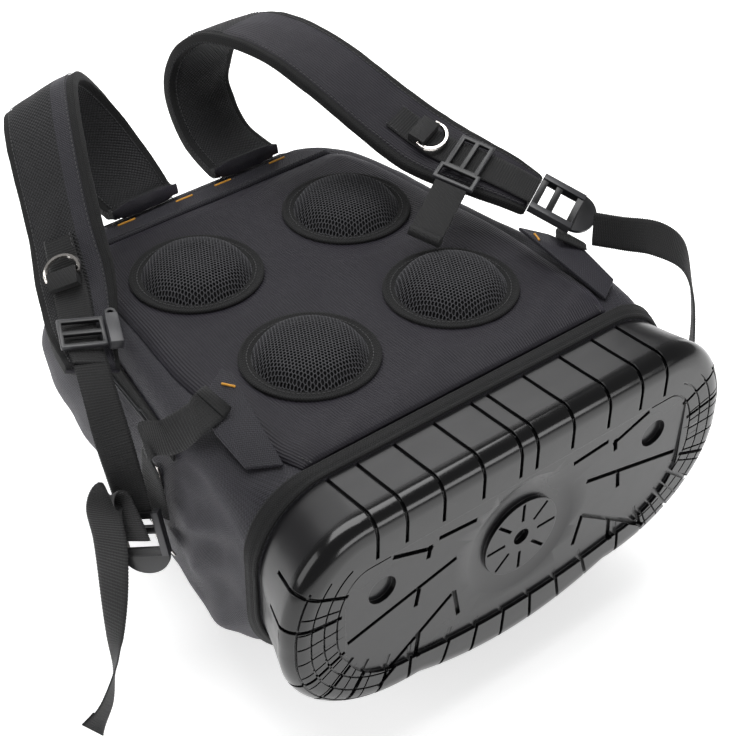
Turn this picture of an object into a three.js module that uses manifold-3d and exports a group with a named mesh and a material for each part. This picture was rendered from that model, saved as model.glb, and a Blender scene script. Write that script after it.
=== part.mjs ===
// A tool backpack lying on its front: a moulded rubber-look tray as its foot, a fabric body above it, four mesh
// pads on the back panel, two padded shoulder straps with their hardware, and a chrome tape clip on one side.
// The bag's own frame, before it is set down: X across the back, Y from the sole to the top, Z out of the back panel.
import * as THREE from "three";
import { mergeVertices } from "three/addons/utils/BufferGeometryUtils.js";
import Module from "manifold-3d";

const wasm = await Module();
wasm.setup();

// Driving dimensions, in millimetres.
const seamGap = 0.3; // clearance between pieces that are sewn or moulded together
const webGap = 0.7; // webbing over a pad that curves and twists
const clothWall = 2.5; // fabric with its foam
const panelLength = 400; // sole to the top edge of the back panel
const panelHalfWidth = 178; // half width of the fabric body just above the tray
const panelLean = 20; // how far the panel falls back from the tray to its top edge
const bodyDepth = 200; // back panel side of the sole to the front of the body
const backPadThickness = 4; // the padded panel sewn on the back
const pocketDepth = 35; // front pocket, and what the bag lies on
const pocketHalfWidth = 122;
const pocketFoot = 92; // its lower edge above the sole
const pocketLength = 240;

const soleHalfWidth = 194;
const soleDepth = 192;
const trayHeight = 53; // sole to the rim
const trayWall = 5;
const soleEdge = 16; // rounding between sole and wall
const rimInset = 16; // how far the rim stands inside the sole's outline at each end
const rimBack = -4; // height of the rim's back edge
const rimDepth = 166;
const treadDepth = 3;
const treadWidth = 3.6;
const treadBlock = 28; // pitch of the blocks along the front edge
const treadReach = 40; // length of a block across the sole
const fieldDrop = 3; // how far the field inside the blocks lies below them
const medallionRadius = 53;
const medallionDisc = 32;
const medallionHub = 12;
const footRecessRadius = 11;

const bindingWidth = 13; // tape over the seam between the body and the tray
const bindingThickness = 2.2;
const bandHeight = 25; // fabric band along the panel's top edge
const bandThickness = 4;
const zipWidth = 11;
const zipThickness = 1.8;

const meshPadRadius = 49;
const meshPadFlange = 10;
const meshPadRise = 17;
const meshFlangeThickness = 2;

const strapWidth = 60;
const strapThickness = 12;
const archHeight = 92; // how far the straps stand off the panel
const webWidth = 25;
const webThickness = 1.8;
const webOffset = 5; // webbing lies this far off the strap's middle
const ringWire = 1.8; // radius of the D-ring's wire
const ringWidth = 30; // outside width of the D-ring
const keeperLength = 13;
const keeperHeight = 6.4;
const boreClearance = 0.35;
const sliderLength = 27;
const sliderRail = 3.6;
const sliderThickness = 3.4;
const loopDepth = 13; // loop that carries the chest webbing
const chestWebLength = 42;
const chestRollRadius = 4.5;
const chestWebFall = 0.35; // radians down from the slider's plane
const hookLength = 34;
const hookWidth = 9;
const hookThickness = 8;
const hookRise = 4; // of its middle over the slider's
const hookDrop = 18; // of its lower end below the slider's middle
const eyeRadius = 4.2;
const lockLength = 34;
const lockRail = 5;
const lockDepth = 7;
const lockBar = 5;
const lipReach = 15;

const clipWidth = 15;
const clipStrip = 1.6;
const clipLength = 74;
const clipPlate = 20; // its flat end under the rivet
const clipStandOff = 6;
const rivetRadius = 3;

const outlineCorner = 5; // points on each rounded corner
const outlineSide = 3; // points on each straight side

const fabric = { color: 0x2b2a30, roughness: 0.85, metalness: 0 };
const tape = { color: 0x1b1b1d, roughness: 0.8, metalness: 0 };
const meshCloth = { color: 0x232326, roughness: 0.9, metalness: 0 };
const moulded = { color: 0x1d1d20, roughness: 0.28, metalness: 0 };
const buckle = { color: 0x202123, roughness: 0.45, metalness: 0 };
const chrome = { color: 0xd9d6d2, roughness: 0.12, metalness: 1 };

const lerp = THREE.MathUtils.lerp;
const vec = (x, y, z) => new THREE.Vector3(x, y, z);
const bag = new THREE.Group();

function addMesh(name, geometry, look, parent = bag) {
  const mesh = new THREE.Mesh(geometry, new THREE.MeshStandardMaterial(look));
  mesh.name = name;
  parent.add(mesh);
  return mesh;
}

// Solids and their joins

function closedGeometry(points, faces) {
  let volume = 0;
  for (let f = 0; f < faces.length; f += 3) {
    const [a, b, c] = [points[faces[f]], points[faces[f + 1]], points[faces[f + 2]]];
    volume += a.dot(vec().crossVectors(b, c));
  }
  const turned = volume < 0 ? faces.slice().reverse() : faces;
  return new THREE.BufferGeometry().setFromPoints(points).setIndex(turned);
}

// A closed body through rings of equal length, with a fan over each end.
function loft(rings) {
  const n = rings[0].length;
  const points = rings.flat();
  const faces = [];
  for (let r = 0; r + 1 < rings.length; r++)
    for (let i = 0; i < n; i++) {
      const a = r * n + i;
      const b = r * n + ((i + 1) % n);
      faces.push(a, b, a + n, b, b + n, a + n);
    }
  const fan = (ring, start, flip) => {
    const middle = ring.reduce((sum, p) => sum.add(p), vec(0, 0, 0)).divideScalar(n);
    const centre = points.push(middle) - 1;
    for (let i = 0; i < n; i++) {
      const pair = [start + i, start + ((i + 1) % n)];
      faces.push(centre, pair[flip ? 0 : 1], pair[flip ? 1 : 0]);
    }
  };
  fan(rings[0], 0, false);
  fan(rings.at(-1), (rings.length - 1) * n, true);
  return closedGeometry(points, faces);
}

// A round wire along a closed path.
function wireLoop(path, radius, sides) {
  const points = [];
  const faces = [];
  path.forEach((at, i) => {
    const before = path.at(i - 1);
    const after = path[(i + 1) % path.length];
    const along = vec().subVectors(after, before).normalize();
    const up = vec(0, 0, 1);
    const out = vec().crossVectors(along, up).normalize();
    for (let s = 0; s < sides; s++) {
      const turn = (2 * Math.PI * s) / sides;
      const offset = out.clone().multiplyScalar(radius * Math.cos(turn));
      points.push(at.clone().add(offset).addScaledVector(up, radius * Math.sin(turn)));
    }
  });
  for (let i = 0; i < path.length; i++)
    for (let s = 0; s < sides; s++) {
      const next = (i + 1) % path.length;
      const a = i * sides + s;
      const b = i * sides + ((s + 1) % sides);
      const c = next * sides + s;
      const d = next * sides + ((s + 1) % sides);
      faces.push(a, b, c, b, d, c);
    }
  return closedGeometry(points, faces);
}

function solidOf(geometry) {
  const bare = geometry.clone();
  bare.deleteAttribute("normal");
  bare.deleteAttribute("uv");
  const merged = mergeVertices(bare, 1e-4);
  return new wasm.Manifold(
    new wasm.Mesh({
      numProp: 3,
      vertProperties: merged.attributes.position.array,
      triVerts: new Uint32Array(merged.index.array),
    }),
  );
}

function geometryOf(solid) {
  const { numProp, numVert, vertProperties, triVerts } = solid.getMesh();
  const position = new Float32Array(numVert * 3);
  for (let i = 0; i < numVert; i++)
    position.set(vertProperties.subarray(i * numProp, i * numProp + 3), i * 3);
  return new THREE.BufferGeometry()
    .setAttribute("position", new THREE.BufferAttribute(position, 3))
    .setIndex(new THREE.BufferAttribute(triVerts, 1));
}

const joined = (geometries) => geometries.map(solidOf).reduce((sum, s) => sum.add(s));
const cut = (geometry, cutters) => geometryOf(solidOf(geometry).subtract(joined(cutters)));

const boxAt = (wide, long, high, x, y, z) => new THREE.BoxGeometry(wide, long, high).translate(x, y, z);

// A cylinder along X, Y or Z.
function barAlong(axis, radius, length, at, sides = 10) {
  const bar = new THREE.CylinderGeometry(radius, radius, length, sides);
  if (axis === "x") bar.rotateZ(Math.PI / 2);
  if (axis === "z") bar.rotateX(Math.PI / 2);
  return bar.translate(at.x, at.y, at.z);
}

// Outlines of the bag across its length

// A plan is an outline in X and Z: half its width, where its back and front lie, the reach of its rounded corners
// along X and Z, how far the front bows out and how far the sides swell.
function planLoop(plan, y) {
  const { half, back, front, backX, backZ, frontX, frontZ, bow, swell } = plan;
  const loop = [];
  const corner = (cx, cz, rx, rz, from) => {
    for (let i = 0; i <= outlineCorner; i++) {
      const turn = from + ((Math.PI / 2) * i) / outlineCorner;
      loop.push([cx + rx * Math.cos(turn), cz + rz * Math.sin(turn)]);
    }
  };
  const run = (x0, z0, x1, z1, sideways, down) => {
    for (let i = 1; i < outlineSide; i++) {
      const t = i / outlineSide;
      const bulge = 4 * t * (1 - t);
      loop.push([lerp(x0, x1, t) + sideways * bulge, lerp(z0, z1, t) - down * bulge]);
    }
  };
  const edge = front + bow;
  corner(half - backX, back - backZ, backX, backZ, 0);
  run(half - backX, back, backX - half, back, 0, 0);
  corner(backX - half, back - backZ, backX, backZ, Math.PI / 2);
  run(-half, back - backZ, -half, edge + frontZ, -swell, 0);
  corner(frontX - half, edge + frontZ, frontX, frontZ, Math.PI);
  run(frontX - half, edge, half - frontX, edge, 0, bow);
  corner(half - frontX, edge + frontZ, frontX, frontZ, 1.5 * Math.PI);
  run(half, edge + frontZ, half, back - backZ, swell, 0);
  return loop.map(([x, z]) => vec(x, y, z));
}

// The loop moved inwards, square to itself.
function insetLoop(loop, by) {
  return loop.map((at, i) => {
    const along = vec().subVectors(loop[(i + 1) % loop.length], loop.at(i - 1)).normalize();
    return vec(at.x - along.z * by, at.y, at.z + along.x * by);
  });
}

const blendPlans = (a, b, t) =>
  Object.fromEntries(Object.keys(a).map((key) => [key, lerp(a[key], b[key], t)]));

// Values of a table's rows at a share of its run, on straight lines between the rows.
function rowAt(rows, key, share) {
  const last = rows.length - 1;
  let i = 0;
  while (i < last - 1 && rows[i + 1][key] <= share) i++;
  const t = THREE.MathUtils.clamp((share - rows[i][key]) / (rows[i + 1][key] - rows[i][key]), 0, 1);
  return blendPlans(rows[i], rows[i + 1], t);
}

// Foot tray

const solePlan = {
  half: soleHalfWidth,
  back: 0,
  front: -soleDepth,
  backX: 0.32 * soleHalfWidth,
  backZ: 0.4 * soleDepth,
  frontX: 0.55 * soleHalfWidth,
  frontZ: 0.47 * soleDepth,
  bow: 0.08 * soleDepth,
  swell: 0,
};
const rimPlan = {
  half: soleHalfWidth - rimInset,
  back: rimBack,
  front: rimBack - rimDepth,
  backX: 0.3 * panelHalfWidth,
  backZ: 0.34 * rimDepth,
  frontX: 0.5 * panelHalfWidth,
  frontZ: 0.46 * rimDepth,
  bow: 0.03 * rimDepth,
  swell: 0,
};

// Sections of the tray: rise as a share of its height, flare from the sole's plan to the rim's, tuck as a share of
// the sole's rounding.
const traySections = [
  { rise: 0, flare: 0, tuck: 1 },
  { rise: 0.03, flare: 0, tuck: 0.62 },
  { rise: 0.1, flare: 0, tuck: 0.25 },
  { rise: 0.25, flare: 0.08, tuck: 0 },
  { rise: 0.6, flare: 0.55, tuck: 0 },
  { rise: 1, flare: 1, tuck: 0 },
];

const trayLoop = ({ rise, flare, tuck }) =>
  insetLoop(planLoop(blendPlans(solePlan, rimPlan, flare), rise * trayHeight), tuck * soleEdge);

// Grooves across the back wall, as shares of the sole's half width from the middle.
const backGrooves = [0.036, 0.2, 0.37, 0.525, 0.645];

// Bars on one half of the sole, from and to, as shares of the sole's half width and depth.
const soleBars = [
  { x0: 0.22, z0: 0.255, x1: 0.385, z1: 0.24 },
  { x0: 0.41, z0: 0.27, x1: 0.58, z1: 0.205 },
  { x0: 0.42, z0: 0.25, x1: 0.428, z1: 0.31 },
  { x0: 0.3, z0: 0.39, x1: 0.76, z1: 0.505 },
  { x0: 0.46, z0: 0.44, x1: 0.472, z1: 0.52 },
  { x0: 0.3, z0: 0.56, x1: 0.635, z1: 0.81 },
  { x0: 0.3, z0: 0.56, x1: 0.272, z1: 0.7 },
  { x0: 0.45, z0: 0.67, x1: 0.46, z1: 0.78 },
];

function trayGeometry() {
  const outer = traySections.map(trayLoop);
  const floor = trayWall + fieldDrop;
  const inner = traySections.slice(3).map((row) => insetLoop(trayLoop(row), trayWall));
  inner.unshift(insetLoop(inner[0], floor / 2).map((p) => vec(p.x, floor, p.z)));
  inner.reverse();
  const shell = solidOf(loft([...outer, ...inner]));
  // What lies deeper than a groove, up past the rim.
  const core = solidOf(
    loft([
      ...traySections.map((row) => {
        const loop = insetLoop(trayLoop(row), treadDepth);
        return loop.map((p) => vec(p.x, Math.max(p.y, treadDepth), p.z));
      }),
      insetLoop(trayLoop(traySections.at(-1)), treadDepth).map((p) => vec(p.x, 1.1 * trayHeight, p.z)),
    ]),
  );
  const groove = (x, z, angle, from, to, high) =>
    boxAt(treadWidth, high, to - from, 0, high / 2 - 1, -(from + to) / 2).rotateY(angle).translate(x, 0, z);
  const grooves = [];
  const wallGroove = 0.88 * trayHeight;
  for (const side of [-1, 1])
    for (const share of backGrooves)
      grooves.push(groove(side * share * soleHalfWidth, 0, 0, -treadDepth * 4, 0.8 * treadReach, wallGroove));
  // Round the ends and the front: a groove square to the edge at each block's pitch.
  const edge = planLoop(solePlan, 0);
  const edgeRun = edge.filter((p) => p.z < -0.16 * soleDepth);
  const lengths = edgeRun.slice(1).map((p, i) => p.distanceTo(edgeRun[i]));
  const total = lengths.reduce((sum, l) => sum + l, 0);
  const blocks = Math.round(total / treadBlock);
  for (let b = 0; b <= blocks; b++) {
    let left = (total * b) / blocks;
    let i = 0;
    while (i < lengths.length - 1 && left > lengths[i]) left -= lengths[i++];
    const at = vec().lerpVectors(edgeRun[i], edgeRun[i + 1], left / lengths[i]);
    const along = vec().subVectors(edgeRun[i + 1], edgeRun[i]).normalize();
    const angle = Math.atan2(along.z, -along.x);
    grooves.push(groove(at.x, at.z, angle + Math.PI, -treadDepth * 4, treadReach, 0.5 * trayHeight));
  }
  const cuts = joined(grooves).subtract(core);
  // The field inside the blocks slopes down from the back edge to the front blocks.
  const field = {
    half: soleHalfWidth - 1.1 * treadReach,
    back: -0.9 * treadReach,
    front: -soleDepth + 0.85 * treadReach,
    backX: 0.1 * soleHalfWidth,
    backZ: 0.1 * soleDepth,
    frontX: 0.3 * soleHalfWidth,
    frontZ: 0.25 * soleDepth,
    bow: 0.05 * soleDepth,
    swell: 0,
  };
  const fieldTop = planLoop(field, 0).map((p) => {
    const share = (p.z - field.back) / (field.front - field.back);
    return vec(p.x, 0.4 + (fieldDrop - 0.4) * share, p.z);
  });
  const drop = solidOf(loft([planLoop(field, -1), fieldTop]));
  const medallionZ = -0.48 * soleDepth;
  const centre = vec(0, 0, medallionZ);
  const ring = solidOf(barAlong("y", medallionRadius, 2 * fieldDrop + 2, centre, 24)).subtract(
    solidOf(barAlong("y", medallionDisc, 3 * fieldDrop + 3, centre, 24)),
  );
  const marks = [];
  for (const side of [-1, 1]) {
    for (const bar of soleBars) {
      const from = vec(side * bar.x0 * soleHalfWidth, 0, -bar.z0 * soleDepth);
      const to = vec(side * bar.x1 * soleHalfWidth, 0, -bar.z1 * soleDepth);
      const middle = vec().lerpVectors(from, to, 0.5);
      const angle = Math.atan2(from.z - to.z, to.x - from.x);
      marks.push(
        boxAt(from.distanceTo(to), 2 * (fieldDrop + treadDepth - 1), treadWidth, 0, 0, 0)
          .rotateY(angle)
          .translate(middle.x, 0, middle.z),
      );
    }
    const spot = vec(side * 0.62 * soleHalfWidth, 0, -0.335 * soleDepth);
    marks.push(barAlong("y", footRecessRadius, 2 * (fieldDrop + treadDepth - 1), spot, 16));
  }
  const spokes = [];
  const spokeCount = 8;
  for (let s = 0; s < spokeCount; s++) {
    const turn = (2 * Math.PI * s) / spokeCount;
    const reach = 0.95 * medallionDisc - 1.2 * medallionHub;
    spokes.push(
      boxAt(reach, 2 * (fieldDrop + 1), treadWidth * 0.7, 1.2 * medallionHub + reach / 2, 0, 0)
        .rotateY(turn)
        .translate(0, 0, medallionZ),
    );
  }
  const low = solidOf(barAlong("y", medallionDisc, 2 * fieldDrop, centre, 24)).subtract(
    solidOf(barAlong("y", medallionHub, 3 * fieldDrop, centre, 20)),
  );
  return geometryOf(
    shell.subtract(cuts).subtract(drop).subtract(ring).subtract(low).subtract(joined(marks)).subtract(joined(spokes)),
  );
}
addMesh("base_tray", trayGeometry(), moulded);

// Fabric body

// Sections of the body from the tray's rim to its top: along as a share of that length, half and swell as
// shares of the panel's half width, lean of the panel's lean, front and the corners of the body's depth.
const bodySections = [
  { along: 0.05, half: 1, swell: 0, lean: 0.04, front: 0.88, backX: 0.2, backZ: 0.2, frontX: 0.42, frontZ: 0.36 },
  { along: 0.13, half: 0.99, swell: 0, lean: 0.1, front: 0.955, backX: 0.11, backZ: 0.13, frontX: 0.34, frontZ: 0.28 },
  { along: 0.22, half: 0.975, swell: 0.02, lean: 0.2, front: 0.995, backX: 0.09, backZ: 0.11, frontX: 0.28, frontZ: 0.24 },
  { along: 0.38, half: 0.925, swell: 0.05, lean: 0.36, front: 1, backX: 0.08, backZ: 0.1, frontX: 0.25, frontZ: 0.23 },
  { along: 0.58, half: 0.865, swell: 0.1, lean: 0.55, front: 1, backX: 0.075, backZ: 0.09, frontX: 0.25, frontZ: 0.23 },
  { along: 0.76, half: 0.825, swell: 0.13, lean: 0.72, front: 1, backX: 0.075, backZ: 0.09, frontX: 0.26, frontZ: 0.24 },
  { along: 0.87, half: 0.785, swell: 0.13, lean: 0.84, front: 0.96, backX: 0.08, backZ: 0.09, frontX: 0.3, frontZ: 0.28 },
  { along: 0.935, half: 0.73, swell: 0.11, lean: 0.95, front: 0.87, backX: 0.1, backZ: 0.1, frontX: 0.3, frontZ: 0.3 },
  { along: 0.975, half: 0.64, swell: 0.08, lean: 1.1, front: 0.72, backX: 0.1, backZ: 0.12, frontX: 0.26, frontZ: 0.26 },
  { along: 1, half: 0.5, swell: 0.04, lean: 1.75, front: 0.52, backX: 0.08, backZ: 0.08, frontX: 0.16, frontZ: 0.14 },
];
const bodyFoot = trayHeight + seamGap;
const bodySpan = panelLength - bodyFoot;

function bodyPlan(row) {
  return {
    half: row.half * panelHalfWidth,
    back: rimBack - row.lean * (panelLean + rimBack),
    front: -row.front * bodyDepth,
    backX: row.backX * bodyDepth,
    backZ: row.backZ * bodyDepth,
    frontX: row.frontX * bodyDepth,
    frontZ: row.frontZ * bodyDepth,
    bow: 0,
    swell: row.swell * panelHalfWidth,
  };
}
// How far the body's side stands out at a height along it and a depth below the panel.
function sideReach(row, z) {
  const { half, back, backZ, front, frontZ, swell } = bodyPlan(row);
  const t = THREE.MathUtils.clamp((back - backZ - z) / (back - backZ - front - frontZ), 0, 1);
  return half + 4 * swell * t * (1 - t);
}
const panelHeight = (y) => {
  const share = (y - bodyFoot) / bodySpan;
  return bodyPlan(rowAt(bodySections, "along", share)).back;
};
const bodyLoops = [
  planLoop(rimPlan, bodyFoot),
  ...bodySections.map((row) => planLoop(bodyPlan(row), bodyFoot + row.along * bodySpan)),
];
const bodyInside = bodyLoops.map((loop, i) => {
  const inside = insetLoop(loop, clothWall);
  if (i > bodyLoops.length - 3) inside.forEach((p) => (p.y -= clothWall * (i - bodyLoops.length + 3)));
  return inside;
});
addMesh("bag_shell", loft([...bodyLoops.slice().reverse(), ...bodyInside]), fabric);

// Tape bound over the body's lower edge, just above the plastic rim.
function bindingGeometry() {
  const share = (rise) => (rise * bindingWidth) / bodySpan;
  const lower = planLoop(rimPlan, bodyFoot);
  const first = planLoop(bodyPlan(bodySections[0]), bodyFoot);
  const at = (rise, out) => {
    const t = share(rise) / bodySections[0].along;
    const loop = lower.map((p, i) => vec().lerpVectors(p, first[i], Math.min(t, 1)));
    return insetLoop(loop, -out).map((p) => vec(p.x, bodyFoot + rise * bindingWidth, p.z));
  };
  const low = 3 * seamGap;
  const high = low + bindingThickness;
  const rings = [at(0.02, low), at(0.02, high), at(0.5, high * 1.15), at(1, high), at(1, low)];
  const n = rings[0].length;
  const points = rings.flat();
  const faces = [];
  rings.forEach((ring, r) => {
    const next = (r + 1) % rings.length;
    for (let i = 0; i < n; i++) {
      const j = (i + 1) % n;
      faces.push(r * n + i, r * n + j, next * n + i, r * n + j, next * n + j, next * n + i);
    }
  });
  return closedGeometry(points, faces);
}
addMesh("base_binding", bindingGeometry(), tape);

// Front pocket: a fabric dish, open towards the body it is sewn on.
function pocketGeometry() {
  const top = -bodyDepth - seamGap;
  const loopAt = (inset, z) => {
    const half = pocketHalfWidth - inset;
    const long = pocketLength / 2 - inset;
    const corner = 0.3 * pocketHalfWidth;
    const shape = new THREE.Shape();
    shape.absarc(half - corner, long - corner, corner, 0, Math.PI / 2);
    shape.absarc(corner - half, long - corner, corner, Math.PI / 2, Math.PI);
    shape.absarc(corner - half, corner - long, corner, Math.PI, 1.5 * Math.PI);
    shape.absarc(half - corner, corner - long, corner, 1.5 * Math.PI, 2 * Math.PI);
    return shape.getPoints(outlineCorner).slice(0, -1).map((p) => vec(p.x, pocketFoot + pocketLength / 2 + p.y, z));
  };
  const edge = 0.35 * pocketDepth;
  return loft([
    loopAt(edge, top - pocketDepth),
    loopAt(0.3 * edge, top - pocketDepth + 0.3 * edge),
    loopAt(0, top - pocketDepth + edge),
    loopAt(0, top),
    loopAt(clothWall, top),
    loopAt(clothWall, top - pocketDepth + edge),
    loopAt(edge, top - pocketDepth + clothWall),
  ]);
}
addMesh("front_pocket", pocketGeometry(), fabric);

// Padded panel on the back, from above the binding to the top band: half as a share of the panel's half width.
const backPanelRows = [
  { along: 0.075, half: 0.7 },
  { along: 0.2, half: 0.76 },
  { along: 0.38, half: 0.8 },
  { along: 0.58, half: 0.76 },
  { along: 0.78, half: 0.725 },
  { along: 0.885, half: 0.66 },
];
function slabOnPanel(rows, thickness) {
  const edge = 0.4 * thickness;
  return loft(
    rows.map(({ along, half }) => {
      const y = bodyFoot + along * bodySpan;
      const low = panelHeight(y) + seamGap;
      const reach = half * panelHalfWidth;
      return [
        vec(-reach, y, low),
        vec(-reach, y, low + thickness - edge),
        vec(edge - reach, y, low + thickness),
        vec(reach - edge, y, low + thickness),
        vec(reach, y, low + thickness - edge),
        vec(reach, y, low),
      ];
    }),
  );
}
addMesh("back_panel", slabOnPanel(backPanelRows, backPadThickness), fabric);

const bandTop = 0.965;
const bandFoot = bandTop - bandHeight / bodySpan;
const topBandRows = [
  { along: bandFoot, half: 0.645 },
  { along: lerp(bandFoot, bandTop, 0.55), half: 0.57 },
  { along: bandTop, half: 0.43 },
];
addMesh("top_band", slabOnPanel(topBandRows, bandThickness), fabric);

// Zip of the main compartment, round the sides and the top just in front of the back panel.
function zipGeometry() {
  const from = 0.3;
  const plane = -0.17 * bodyDepth;
  const rows = [rowAt(bodySections, "along", from), ...bodySections.filter((row) => row.along > from)];
  const square = (a, b) => vec(a.y - b.y, b.x - a.x, 0).normalize();
  // One edge of the tape, on the body's side and lifted square to it.
  const edgeAt = (z) => {
    const right = rows.map((row) => vec(sideReach(row, z), bodyFoot + row.along * bodySpan, z));
    const path = [...right.map((p) => vec(-p.x, p.y, p.z)), ...right.slice().reverse()];
    return path.map((at, i) => {
      const before = square(path[Math.max(i - 1, 0)], path[Math.max(i, 1)]);
      const after = square(path[Math.min(i, path.length - 2)], path[Math.min(i + 1, path.length - 1)]);
      const out = vec().addVectors(before, after).normalize();
      out.divideScalar(out.dot(before)); // so the offset stays whole at a bend
      return [2 * seamGap, 2 * seamGap + zipThickness].map((lift) => at.clone().addScaledVector(out, lift));
    });
  };
  const [upper, lower] = [edgeAt(plane + zipWidth / 2), edgeAt(plane - zipWidth / 2)];
  return loft(upper.map(([low, high], i) => [low, high, lower[i][1], lower[i][0]]));
}
addMesh("main_zip", zipGeometry(), tape);

// Mesh pads

// Places as shares of the panel's half width and the body's span.
const meshPads = [
  { name: "mesh_pad_top_left", x: -0.382, along: 0.668 },
  { name: "mesh_pad_top_right", x: 0.382, along: 0.668 },
  { name: "mesh_pad_low_left", x: -0.35, along: 0.292 },
  { name: "mesh_pad_low_right", x: 0.35, along: 0.292 },
];
function meshPadGeometry() {
  const dome = meshPadRadius - meshPadFlange;
  const profile = [
    [0, 0],
    [meshPadRadius, 0],
    [meshPadRadius, meshFlangeThickness],
    [dome + 1, meshFlangeThickness],
    [dome * 0.93, meshPadRise * 0.42],
    [dome * 0.75, meshPadRise * 0.78],
    [dome * 0.42, meshPadRise * 0.97],
    [0, meshPadRise],
  ];
  return new THREE.LatheGeometry(profile.map(([r, h]) => new THREE.Vector2(r, h)), 24).rotateX(Math.PI / 2);
}
for (const { name, x, along } of meshPads) {
  const y = bodyFoot + along * bodySpan;
  const pad = addMesh(name, meshPadGeometry(), meshCloth);
  const slope = Math.atan2(panelHeight(y + 1) - panelHeight(y - 1), 2);
  pad.position.set(x * panelHalfWidth, y, panelHeight(y) + seamGap + backPadThickness + seamGap + 0.1);
  pad.rotation.x = slope;
}

// Shoulder straps and webbing

// A band is a run of stations: where its middle is, and the direction of its width.
function band(stations) {
  const middle = new THREE.CatmullRomCurve3(stations.map((s) => s.at), false, "catmullrom");
  const width = new THREE.CatmullRomCurve3(stations.map((s) => s.across), false, "catmullrom");
  return (t) => {
    const at = middle.getPoint(t);
    const step = 1e-3;
    const along = vec()
      .subVectors(middle.getPoint(Math.min(t + step, 1)), middle.getPoint(Math.max(t - step, 0)))
      .normalize();
    const across = width.getPoint(t);
    across.addScaledVector(along, -across.dot(along)).normalize();
    return { at, along, across, out: vec().crossVectors(along, across) };
  };
}

// A flat strip along a band, from one share of it to another, lifted off its middle and shifted along its width.
function strip(run, { from = 0, to = 1, steps, wide, thick, lift = 0, shift = 0, round = 0, taper = 1 }) {
  const rings = [];
  for (let s = 0; s <= steps; s++) {
    const share = s / steps;
    const { at, across, out } = run(lerp(from, to, share));
    const half = (wide / 2) * lerp(1, taper, Math.max(0, share * 4 - 3));
    const edge = thick * round;
    const corners = [
      [-half, -thick / 2, 1, 1],
      [half, -thick / 2, -1, 1],
      [half, thick / 2, -1, -1],
      [-half, thick / 2, 1, -1],
    ];
    const section = corners.flatMap(([u, v, du, dv], i) => {
      const eased = [[u, v + dv * edge], [u + du * edge, v]];
      return round ? (i % 2 ? eased.reverse() : eased) : [[u, v]];
    });
    rings.push(
      section.map(([u, v]) => at.clone().addScaledVector(across, shift + u).addScaledVector(out, lift + v)),
    );
  }
  return loft(rings);
}

// A row's place as shares of the panel's half width, its length and the straps' height, and its width's
// direction as yaw and pitch in degrees.
const station = ({ x, along, up, yaw, pitch }) => {
  const [a, b] = [yaw, pitch].map(THREE.MathUtils.degToRad);
  return {
    at: vec(x * panelHalfWidth, along * panelLength, up * archHeight),
    across: vec(Math.cos(b) * Math.cos(a), Math.cos(b) * Math.sin(a), Math.sin(b)),
  };
};

const rightStrapRows = [
  { x: 0.247, along: 0.955, up: -0.075, yaw: 0, pitch: 0 },
  { x: 0.247, along: 0.984, up: -0.11, yaw: 0, pitch: 0 },
  { x: 0.242, along: 1.065, up: -0.02, yaw: -1, pitch: -8 },
  { x: 0.252, along: 1.125, up: 0.27, yaw: 1, pitch: -13 },
  { x: 0.29, along: 1.128, up: 0.6, yaw: 5, pitch: -12 },
  { x: 0.34, along: 1.08, up: 0.88, yaw: 10, pitch: -8 },
  { x: 0.39, along: 1.005, up: 1.0, yaw: 15, pitch: -3 },
  { x: 0.45, along: 0.92, up: 0.99, yaw: 16, pitch: 1 },
  { x: 0.5, along: 0.84, up: 0.9, yaw: 15, pitch: 4 },
  { x: 0.55, along: 0.77, up: 0.77, yaw: 15, pitch: 6 },
  { x: 0.6, along: 0.708, up: 0.64, yaw: 16, pitch: 8 },
  { x: 0.65, along: 0.65, up: 0.53, yaw: 18, pitch: 11 },
  { x: 0.7, along: 0.593, up: 0.46, yaw: 20, pitch: 14 },
  { x: 0.755, along: 0.538, up: 0.42, yaw: 23, pitch: 15 },
  { x: 0.82, along: 0.485, up: 0.36, yaw: 26, pitch: 15 },
  { x: 0.885, along: 0.438, up: 0.27, yaw: 29, pitch: 13 },
];
const leftStrapRows = [
  { x: -0.28, along: 0.955, up: -0.07, yaw: 0, pitch: 0 },
  { x: -0.285, along: 0.984, up: -0.11, yaw: 0, pitch: 0 },
  { x: -0.305, along: 1.035, up: 0.04, yaw: -2, pitch: 16 },
  { x: -0.355, along: 1.08, up: 0.3, yaw: -8, pitch: 26 },
  { x: -0.43, along: 1.1, up: 0.58, yaw: -17, pitch: 30 },
  { x: -0.515, along: 1.09, up: 0.81, yaw: -24, pitch: 30 },
  { x: -0.6, along: 1.05, up: 0.92, yaw: -30, pitch: 29 },
  { x: -0.67, along: 0.993, up: 0.86, yaw: -36, pitch: 28 },
  { x: -0.725, along: 0.933, up: 0.7, yaw: -42, pitch: 29 },
  { x: -0.765, along: 0.883, up: 0.52, yaw: -47, pitch: 29 },
  { x: -0.8, along: 0.838, up: 0.34, yaw: -49, pitch: 27 },
  { x: -0.84, along: 0.792, up: 0.18, yaw: -46, pitch: 22 },
  { x: -0.885, along: 0.745, up: 0.06, yaw: -38, pitch: 14 },
  { x: -0.94, along: 0.695, up: -0.03, yaw: -29, pitch: 4 },
  { x: -0.99, along: 0.645, up: -0.08, yaw: -22, pitch: -7 },
  { x: -1.035, along: 0.59, up: -0.09, yaw: -16, pitch: -14 },
];
const straps = {
  left: band(leftStrapRows.map(station)),
  right: band(rightStrapRows.map(station)),
};
const strapSteps = 28;
const padLift = strapThickness / 2 + webGap + webThickness / 2;

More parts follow.
